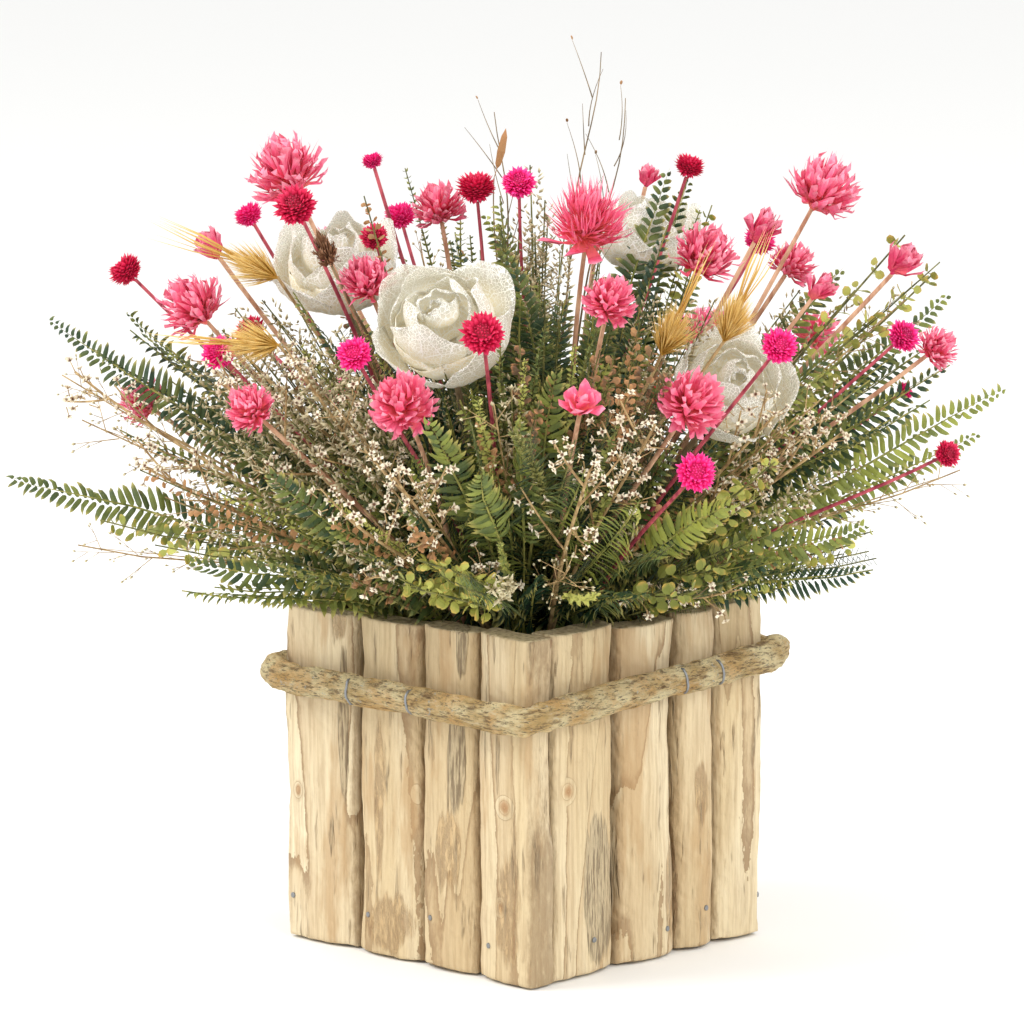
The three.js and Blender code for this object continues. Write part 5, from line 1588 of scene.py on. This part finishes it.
# Sprigs seen clearly in the photograph, each kind's as (u, v, near)
chosenSprigs = {
    "frond": [(400, 250, -60), (455, 232, -50), (545, 232, -70), (600, 262, -60), (640, 245, -80),
              (700, 262, -60), (735, 300, -60), (790, 330, -70), (345, 300, -50), (300, 350, -60),
              (560, 330, 40), (610, 360, 60), (650, 330, 30), (500, 330, 60), (360, 420, 40),
              (320, 440, 50), (680, 440, 70), (720, 420, 40), (460, 400, 100), (585, 470, 150),
              (520, 420, 140), (400, 500, 140), (640, 500, 150), (830, 430, 0), (800, 500, 60),
              (230, 480, 40), (170, 380, -30), (120, 430, 0), (200, 420, -20), (255, 400, -20),
              (290, 425, 0), (340, 380, -20), (150, 440, 0), (230, 350, -60), (370, 350, -20),
              (420, 300, -50), (570, 290, -20), (625, 315, -20), (680, 330, -20), (760, 370, -20),
              (540, 380, 70), (640, 400, 80), (590, 420, 100), (480, 250, 0), (260, 560, 90),
              (880, 340, -60), (780, 560, 80), (860, 470, 0), (500, 196, 20), (540, 275, 40),
              (565, 300, 50), (520, 300, 60), (595, 300, 40), (690, 172, -20), (668, 225, 20),
              (293, 292, 60), (835, 275, -30), (850, 330, 10), (880, 310, -30), (900, 350, 0),
              (930, 345, -20), (870, 380, 20), (910, 390, 10), (950, 365, 0), (840, 360, 30),
              (890, 420, 30), (930, 400, 20), (130, 330, -30), (165, 345, -20), (95, 350, -10)],
    "needle": [(470, 420, 150), (530, 430, 155), (400, 440, 140), (610, 400, 130), (300, 440, 60),
               (350, 470, 90), (260, 450, 30), (340, 330, 0), (690, 360, 40), (640, 350, 60),
               (590, 330, 70), (740, 420, 60), (640, 430, 135), (575, 440, 150), (440, 360, 90),
               (560, 300, 60), (590, 360, 110), (660, 380, 120), (545, 300, 60), (620, 300, 40),
               (650, 300, 40), (355, 320, 30), (600, 250, 20)],
    "thyme": [(500, 335, 110), (575, 345, 118), (478, 400, 138), (300, 345, 60), (620, 420, 140),
              (330, 500, 120), (700, 210, -20), (405, 168, -40), (440, 215, -20), (460, 200, -30),
              (470, 235, 0), (450, 240, -10), (545, 330, 110), (525, 360, 125), (600, 320, 90),
              (222, 330, 0)],
    "pod": [(364, 196, 45), (556, 372, 118), (640, 322, 112), (615, 352, 120), (540, 400, 140),
            (140, 470, 60), (185, 505, 80), (600, 350, 115), (655, 345, 120), (670, 365, 125),
            (630, 380, 130), (520, 345, 120), (365, 290, 60), (385, 300, 70)],
    "husk": [(215, 388, 60), (255, 380, 75), (300, 372, 85), (335, 385, 95), (185, 420, 60), (545, 200, 0),
             (565, 232, 20), (690, 300, 60), (160, 395, 20), (200, 400, 50), (240, 410, 60), (275, 405, 75),
             (320, 410, 85), (350, 430, 100), (260, 470, 100), (210, 470, 70), (290, 440, 100),
             (230, 440, 80), (650, 290, 40), (530, 165, -20), (520, 215, 20), (535, 232, 30), (548, 215, 0),
             (515, 250, 40), (560, 250, 40), (530, 275, 50), (700, 320, 60), (715, 300, 50), (690, 340, 80),
             (720, 330, 60), (205, 350, 30), (225, 335, 30), (250, 345, 50), (270, 335, 50), (285, 350, 70),
             (310, 340, 70), (330, 355, 85), (240, 365, 60), (300, 390, 95), (345, 370, 90), (190, 365, 20),
             (800, 290, -20), (790, 310, 0), (855, 290, -40),
             (262, 300, -10), (300, 312, 30), (235, 308, 10), (212, 330, 0), (335, 330, 60), (275, 318, 0)],
    "coin": [(398, 578, 122), (440, 575, 128), (420, 560, 120), (765, 495, 105), (800, 520, 80),
             (735, 560, 110), (790, 575, 60), (700, 590, 120), (940, 262, -20), (100, 520, 40),
             (155, 545, 70), (712, 205, -20)],
    "statice": [(410, 474, 148), (655, 435, 140), (850, 395, 40), (800, 440, 70), (330, 400, 100),
                (250, 360, 60), (200, 345, 20), (820, 400, 60)],
    "wisp": [(62, 375, 0), (82, 420, 20), (78, 545, 60), (905, 300, -20), (960, 470, 0)],
}


def hidesHead(points):
    # Whether a sprig would stand before a head, run through one or hang below the rim
    u, v, near = pixelsOf(points)
    apart = np.hypot(u[:, None] - headSpots[:, 0], v[:, None] - headSpots[:, 1])
    before = (apart < headSpots[:, 3] * fillingForm["before"]) & (near[:, None] > headSpots[:, 2])
    return bool(before.any() or pierces(points) or v[-1] > fillingForm["lowest"])


def pierces(points):
    middles = np.array([spot(*head[:3]) for head in headSpots])
    apart = np.linalg.norm(points[:, None, :] - middles[None], axis=2)
    return bool((apart < headSpots[:, 3] * view["pixel"] * fillingForm["headRoom"]).any())


def laySprig(filler, tip, draw, tubes, parts):
    # Lays one sprig from the foam to its tip, with its bare stem below
    turn = math.atan2(tip[1], tip[0])
    inward = draw(0.2, 1.0)
    reach = min(fillingForm["footReach"], math.hypot(tip[0], tip[1])) * inward
    foot = np.array([math.cos(turn) * reach, math.sin(turn) * reach, stand["foamTop"] + 1])
    line = stemLine(foot, tip, draw(0, 0.7), draw(-9, 9))
    start = max(0.04, 1 - draw(*filler["blade"]) / np.linalg.norm(tip - foot))
    way = unit(unit(tip - fountain) + up * 0.4 + pictureBack * 0.3
               + np.array([draw(-0.5, 0.5), draw(-0.5, 0.5), 0]))
    template = plainFrond if filler["kind"] == "frond" else sprigs[filler["kind"]]
    parts.append(bendAlong(template, line, start, 1, way, draw(*filler["wide"]), draw(*filler["tone"]),
                           draw(-1.2, 1.2)))
    tubes.append(tubeOf(line, fillingForm["stemThick"], fillingForm["stemThin"], 6))


def roughPath(tip):
    # About where a sprig to this tip will run
    return stemLine(np.array([0.0, 0.0, stand["foamTop"]]), tip, 0.3, 0).at(np.linspace(0.4, 1, 12))


def makeFilling():
    for n, (name, row) in enumerate(fillers.items()):
        filler, draw = dict(zip(fillerKeys, row)), drawer(seeds["filling"] + n)
        sectors = [([], []), ([], []), ([], [])]
        left = 0
        for i in range(filler["count"]):
            turn = (i + fillingForm["offset"] * n) * fillingForm["turn"] + draw(-0.2, 0.2)
            rise = math.radians(draw(*filler["rise"]))
            for _ in range(fillingForm["tries"]):
                tip = domeTip(turn, rise, draw(*filler["reach"]))
                if not hidesHead(roughPath(tip)):
                    laySprig(filler, tip, draw, *sectors[i % 3])
                    break
                turn += fillingForm["step"]
            else:
                left += 1
        for k, target in enumerate(chosenSprigs.get(name, ())):
            tip = spot(*target)
            if not pierces(roughPath(tip)):
                laySprig(filler, tip, draw, *sectors[k % 3])
        for sector, (tubes, parts) in enumerate(sectors):
            twigs = growTubes("twigs", tubes, filler["stem"], 0)
            handIn(joinAll("%sFilling%d" % (name, sector + 1), [twigs] + parts), filler["slot"])
        print("filling:", name, "left out", left)


def domeTip(turn, rise, reach):
    level = math.cos(rise)
    away = np.array([math.cos(turn) * level, math.sin(turn) * level, math.sin(rise)])
    return fountain + away * reach * (1 + fillingForm["peak"] * math.sin(rise) ** 2)


# Planter: split billets, vine hoop, staples and nails

billet = {"bevel": 2.2, "squareBevel": 1.0, "belly": 5.0, "fullness": 2.8, "rows": 9,
          "columns": (0, 0.34, 0.66), "rim": 1.3, "wander": 0.08, "shift": 1.1, "end": 1.6,
          "relief": [(18, 1.7), (5, 1.7 * 0.3)], "apart": (37.0, 0, 11.0)}  # relief as (size, strength)
# Marks on the timber as (u, v, half width, half height) in the photograph
woodMarks = {
    "bark": [(457, 755, 10, 70), (598, 890, 17, 84), (344, 720, 5, 90), (462, 640, 7, 40)],
    "rust": [(508, 915, 15, 70), (448, 850, 16, 44), (390, 925, 28, 34), (380, 800, 6, 90), (702, 790, 9, 34),
             (672, 890, 8, 60), (340, 620, 8, 26)],
}
sideTurns = {"front_left": 0, "front_right": 1, "back_right": 2, "back_left": 3}


def markWood(piece, width, turn, sides):
    # Levels that the timber's finish reads: how far across, and the photograph's marks on the two seen sides
    points = pointsOf(piece)
    along = points @ sides / metre
    setLevel(piece, "across", (2 * along - along.min() - along.max()) / width)
    u, v, _ = pixelsOf(points / metre)
    for name, marks in woodMarks.items():
        level = np.zeros(len(points))
        for markU, markV, halfWidth, halfHeight in marks if turn < 2 else ():
            fall = 1 - ((u - markU) / halfWidth) ** 2 - ((v - markV) / halfHeight) ** 2
            level = np.maximum(level, np.clip(fall, 0, 1))
        setLevel(piece, name, level)


def makeBillet(node, seed):
    # A split billet: bevelled block, rows pushed about, softened and given relief
    low, high = (Vector(corner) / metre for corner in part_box(node))
    turn = next(turn for side, turn in sideTurns.items() if side in node)
    size = high - low
    width, thick = (size.x, size.y) if turn % 2 == 0 else (size.y, size.x)
    draw = drawer(seed)
    deselectAll()
    bpy.ops.mesh.primitive_cube_add(size=1)
    piece = bpy.context.object
    bpy.ops.object.mode_set(mode="EDIT")
    bpy.ops.transform.resize(value=(width, thick, size.z), center_override=(0, 0, 0))
    # The face falls back toward its edges, but less at the planter's corners
    square = node == "slat_front_left_4"
    outer = -1 if node.endswith("_1") else 1 if node.endswith("_4") else 0
    shares = (*billet["columns"], 1 - 2 * billet["end"] / width, 1)
    columns = sorted({side * share for share in shares for side in (-1, 1)})
    for share in columns[1:-1]:
        cutAcross((share * width / 2, 0, 0), (1, 0, 0))
    face = -thick / 2 + 0.01
    for share in columns:
        pick(piece, lambda v: v.co.y < face and abs(v.co.x - share * width / 2) < 0.1)
        fall = billet["belly"] * abs(share) ** billet["fullness"] * (0.2 if share * outer > 0 else 1)
        bpy.ops.transform.translate(value=(0, fall, 0))
    for side in (-1, 1):
        pick(piece, lambda e: all(v.co.y < thick / 2 - 1 and v.co.x * side > width / 2 - 0.1 for v in e.verts)
             and abs(e.verts[0].co.z - e.verts[1].co.z) > 1, "edges")
        offset = billet["squareBevel"] if square and side > 0 else billet["bevel"]
        bpy.ops.mesh.bevel(offset=offset * draw(0.85, 1.15), segments=2, profile=0.5)
    for end in (-1, 1):
        cutAcross((0, 0, end * (size.z / 2 - billet["end"])), (0, 0, 1))
    cutAcross((0, thick / 2 - billet["end"], 0), (0, 1, 0))
    for k in range(1, billet["rows"]):
        height = size.z * (k / billet["rows"] - 0.5) + draw(-3, 3)
        cutAcross((0, 0, height), (0, 0, 1))
        narrow = 1 - billet["wander"] * draw(-0.4, 1)
        bpy.ops.transform.resize(value=(narrow, 1, 1), center_override=(0, 0, height))
        bpy.ops.transform.translate(value=(billet["shift"] * draw(-1, 1), 0, 0))
    rim = size.z / 2 - 0.01
    pick(piece, lambda e: all(v.co.z > rim for v in e.verts) and e.is_contiguous
         and min(f.normal.z for f in e.link_faces) < 0.5, "edges")
    bpy.ops.mesh.bevel(offset=billet["rim"], segments=2, profile=0.6)
    done()
    levels = 2 if turn < 2 else 1
    applyModifier(piece, "SUBSURF", levels=levels, render_levels=levels)
    away = seed * np.array(billet["apart"])
    for scale, strength in billet["relief"]:
        setPoints(piece, pointsOf(piece) + away)
        roughen(piece, scale, strength)
        setPoints(piece, pointsOf(piece) - away)
    turned = Matrix.Rotation(turn * math.pi / 2, 4, "Z")
    piece.data.transform(onward @ Matrix.Translation((low + high) / 2) @ turned)
    points = pointsOf(piece)
    points[:, 2] = np.maximum(points[:, 2], 0)
    setPoints(piece, points)
    setLevel(piece, "tone", draw())
    markWood(piece, width, turn, np.array([1.0, 0, 0]) if turn % 2 == 0 else np.array([0, 1.0, 0]))
    smooth(piece)
    paint(piece, "wood")
    piece.name = node.replace("slat_", "billet_")
    return handIn(piece, "peeled_wood", [node])


vine = {"fatten": 0.45, "levels": 3, "relief": [(15, 3.0), (5, 1.5), (2.0, 0.8)]}


def makeVine():
    # The bent branch: the solid's copy, merged, rounded and roughened
    piece = addObject("vineHoop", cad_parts["vine_hoop"].data.copy())
    piece.data.transform(Matrix.Scale(1 / metre, 4))
    edit(piece)
    bpy.ops.mesh.remove_doubles(threshold=0.01)
    bpy.ops.transform.shrink_fatten(value=vine["fatten"])
    done()
    applyModifier(piece, "SUBSURF", levels=vine["levels"], render_levels=vine["levels"])
    for scale, strength in vine["relief"]:
        roughen(piece, scale, strength)
    piece.data.transform(onward)
    smooth(piece)
    paint(piece, "bark")
    return handIn(piece, "vine_bark", ["vine_hoop"])


staples = {
    # Where they hold the vine, in millimetres along each side from the planter's middle
    "front_left": [-22.4, 13.6], "front_right": [9.5, 31.5], "back_right": [20, -30], "back_left": [26, -12],
    "wire": 0.6, "leg": 4.5, "proud": 0.1, "arc": range(50, -51, -10), "band": 1.6, "slant": 0.9,
}


def makeStaples(hoop):
    points = pointsOf(hoop) / metre
    tubes = []
    for side, turn in sideTurns.items():
        angle = turn * math.pi / 2
        right = np.array([math.cos(angle), math.sin(angle), 0])
        out = np.array([math.sin(angle), -math.cos(angle), 0])
        for place in staples[side]:
            # The wire follows the bark's own outline there
            ring = points[(np.abs(points @ right - place) < staples["band"]) & (points @ out > 60)]
            middle = ring.mean(0)
            flat = np.column_stack([(ring - middle) @ out, (ring - middle)[:, 2]])
            arc = np.radians(staples["arc"])
            reach = np.array([(flat @ np.array([math.cos(a), math.sin(a)])).max() for a in arc])
            reach += staples["proud"]
            wire = [middle + out * math.cos(a) * r + up * math.sin(a) * r for a, r in zip(arc, reach)]
            ends = [wire[0] - out * staples["leg"], wire[-1] - out * staples["leg"]]
            slant = right * np.linspace(-staples["slant"], staples["slant"], len(wire) + 2)[:, None]
            tubes.append((np.array([ends[0], *wire, ends[1]]) + slant, staples["wire"]))
    return handIn(growTubes("wireStaples", tubes, "steel", 2), "vine_bark")


nails = {
    "seen": [(293, 895), (366, 915), (429, 918), (487, 946), (595, 940), (669, 929), (707, 908), (760, 895)],
    "height": 17.0, "radius": 1.25, "depth": 1.4, "round": 0.3, "from": 30, "within": 0.05,
}


def makeNails(billets):
    deselectAll()
    bpy.ops.mesh.primitive_cylinder_add(vertices=14, radius=nails["radius"], depth=nails["depth"])
    head = bpy.context.object
    bpy.ops.object.mode_set(mode="EDIT")
    pick(head, lambda e: all(v.co.z > 0.5 for v in e.verts), "edges")
    bpy.ops.mesh.bevel(offset=nails["round"], segments=2)
    done()
    paint(head, "steel")
    keepTemplate(head, "nailHead")
    spots = []
    for k, (u, v) in enumerate(nails["seen"]):
        out = np.array([0.0, -1.0, 0.0]) if k < 4 else np.array([1.0, 0.0, 0.0])
        spots.append((onFace(u, v, out), out))
    draw = drawer(seeds["nails"])
    for piece in billets[8:]:
        middle = pointsOf(piece).mean(0) / metre
        out = np.array([0.0, 1.0, 0.0]) if "back_right" in piece.name else np.array([-1.0, 0.0, 0.0])
        across = np.cross(out, up)
        place = middle + across * draw(-6, 6)
        spots.append((np.array([place[0], place[1], nails["height"] + draw(-2, 2)]), out))
    made = []
    for place, out in spots:
        for piece in billets:
            start = (place + out * nails["from"]) * metre
            found, where, normal, _ = piece.ray_cast(Vector(start), Vector(-out))
            if found and (where - Vector(start)).length < nails["within"]:
                made.append(copyOf(head, Matrix.Translation(where) @ turnTo(normal) @ onward))
                break
    return handIn(joinAll("nailHeads", made), "peeled_wood")


def makePlanter():
    billets = [makeBillet("slat_%s_%d" % (side, i + 1), 10 * turn + i + 1)
               for side, turn in sideTurns.items() for i in range(4)]
    makeStaples(makeVine())
    makeNails(billets)
    for node, finish in (("foam_block", "foam"), ("base_board", "board")):
        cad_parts[node].data.materials.clear()
        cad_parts[node].data.materials.append(finishes[finish].material)
    print("planter:", len(billets), "billets")


studio = {
    "floor": (tint(244, 244, 242), tint(236, 236, 234)),
    "wide": 12,
    "below": 0.0008,  # a hair under the planter, so that the faces don't meet
    "world": 1.0,
    "aim": (0, 0, 0.2),
    # Soft lights as (place, watts, size), in metres
    "lights": [((-1.1, -1.5, 1.9), 36, 1.3), ((1.9, -0.4, 1.2), 14, 1.2), ((0.4, 1.4, 1.6), 10, 1.2)],
}


def lightStudio():
    world = bpy.data.worlds.new("studio")
    bpy.context.scene.world = world
    world.use_nodes = True
    backdrop = world.node_tree.nodes["Background"]
    backdrop.inputs["Color"].default_value = (1, 1, 1, 1)
    backdrop.inputs["Strength"].default_value = studio["world"]
    for place, power, size in studio["lights"]:
        lamp = bpy.data.lights.new("softLight", "AREA")
        lamp.energy = power
        lamp.size = size
        aim = Vector(studio["aim"]) - Vector(place)
        addObject("softLight", lamp).matrix_world = Matrix.Translation(place) @ turnTo(aim, "-Z")
    deselectAll()
    bpy.ops.mesh.primitive_plane_add(size=studio["wide"], location=(0, 0, -studio["below"]))
    floor = bpy.context.object
    floor.name = "paleFloor"
    finish = Finish("paleFloor", Roughness=0.9)
    speckle = finish.noise(3.0)
    finish.feed(Base_Color=finish.mix(speckle * 0.1, *studio["floor"]))
    floor.data.materials.append(finish.material)
    bpy.context.scene.view_settings.view_transform = "Standard"


addCamera()
lightStudio()
makePlanter()

heads = {"coral": makeCoralHeads(), "globe": makeGlobeHead(), "tail": makeTailHead(), "rose": makeRoseHead()}
fronds, plainFrond = makeFronds()
floret = makeFloret()
sprigs = {kind: makeSprig(kind, dict(zip(sprigKeys, row)), seeds["sprigs"] + n)
          for n, (kind, row) in enumerate(sprigForms.items())}
sprigs["statice"] = makeStaticeSprig()
sprigs["wisp"] = makeWisp()
headSpots = np.array([head for group in coralFlowers + globeFlowers + [skeletonRoses] for head in group]
                     + [[*tail, tailWidth] for tail in goldenTails], float)
roundLeaf = makeRoundLeaf("roundLeaf", "round", 6.5, 8.5)
brownLeaf = makeRoundLeaf("brownLeaf", "brownLeaf", 5.0, 9.0)
heathLeaf = makeHeathLeaf()
print("templates:", len(templates))
bpy.context.view_layer.update()

makePlants()
makeFilling()

for template in templates:
    if template.name in bpy.data.objects:
        bpy.data.objects.remove(template)

solid = [o for o in bpy.data.objects if o.type == "MESH" and not o.hide_render]
counts = sorted((sum(len(f.vertices) - 2 for f in o.data.polygons), o.name) for o in solid)
print("triangles:", sum(count for count, _ in counts), "most in", counts[-1])
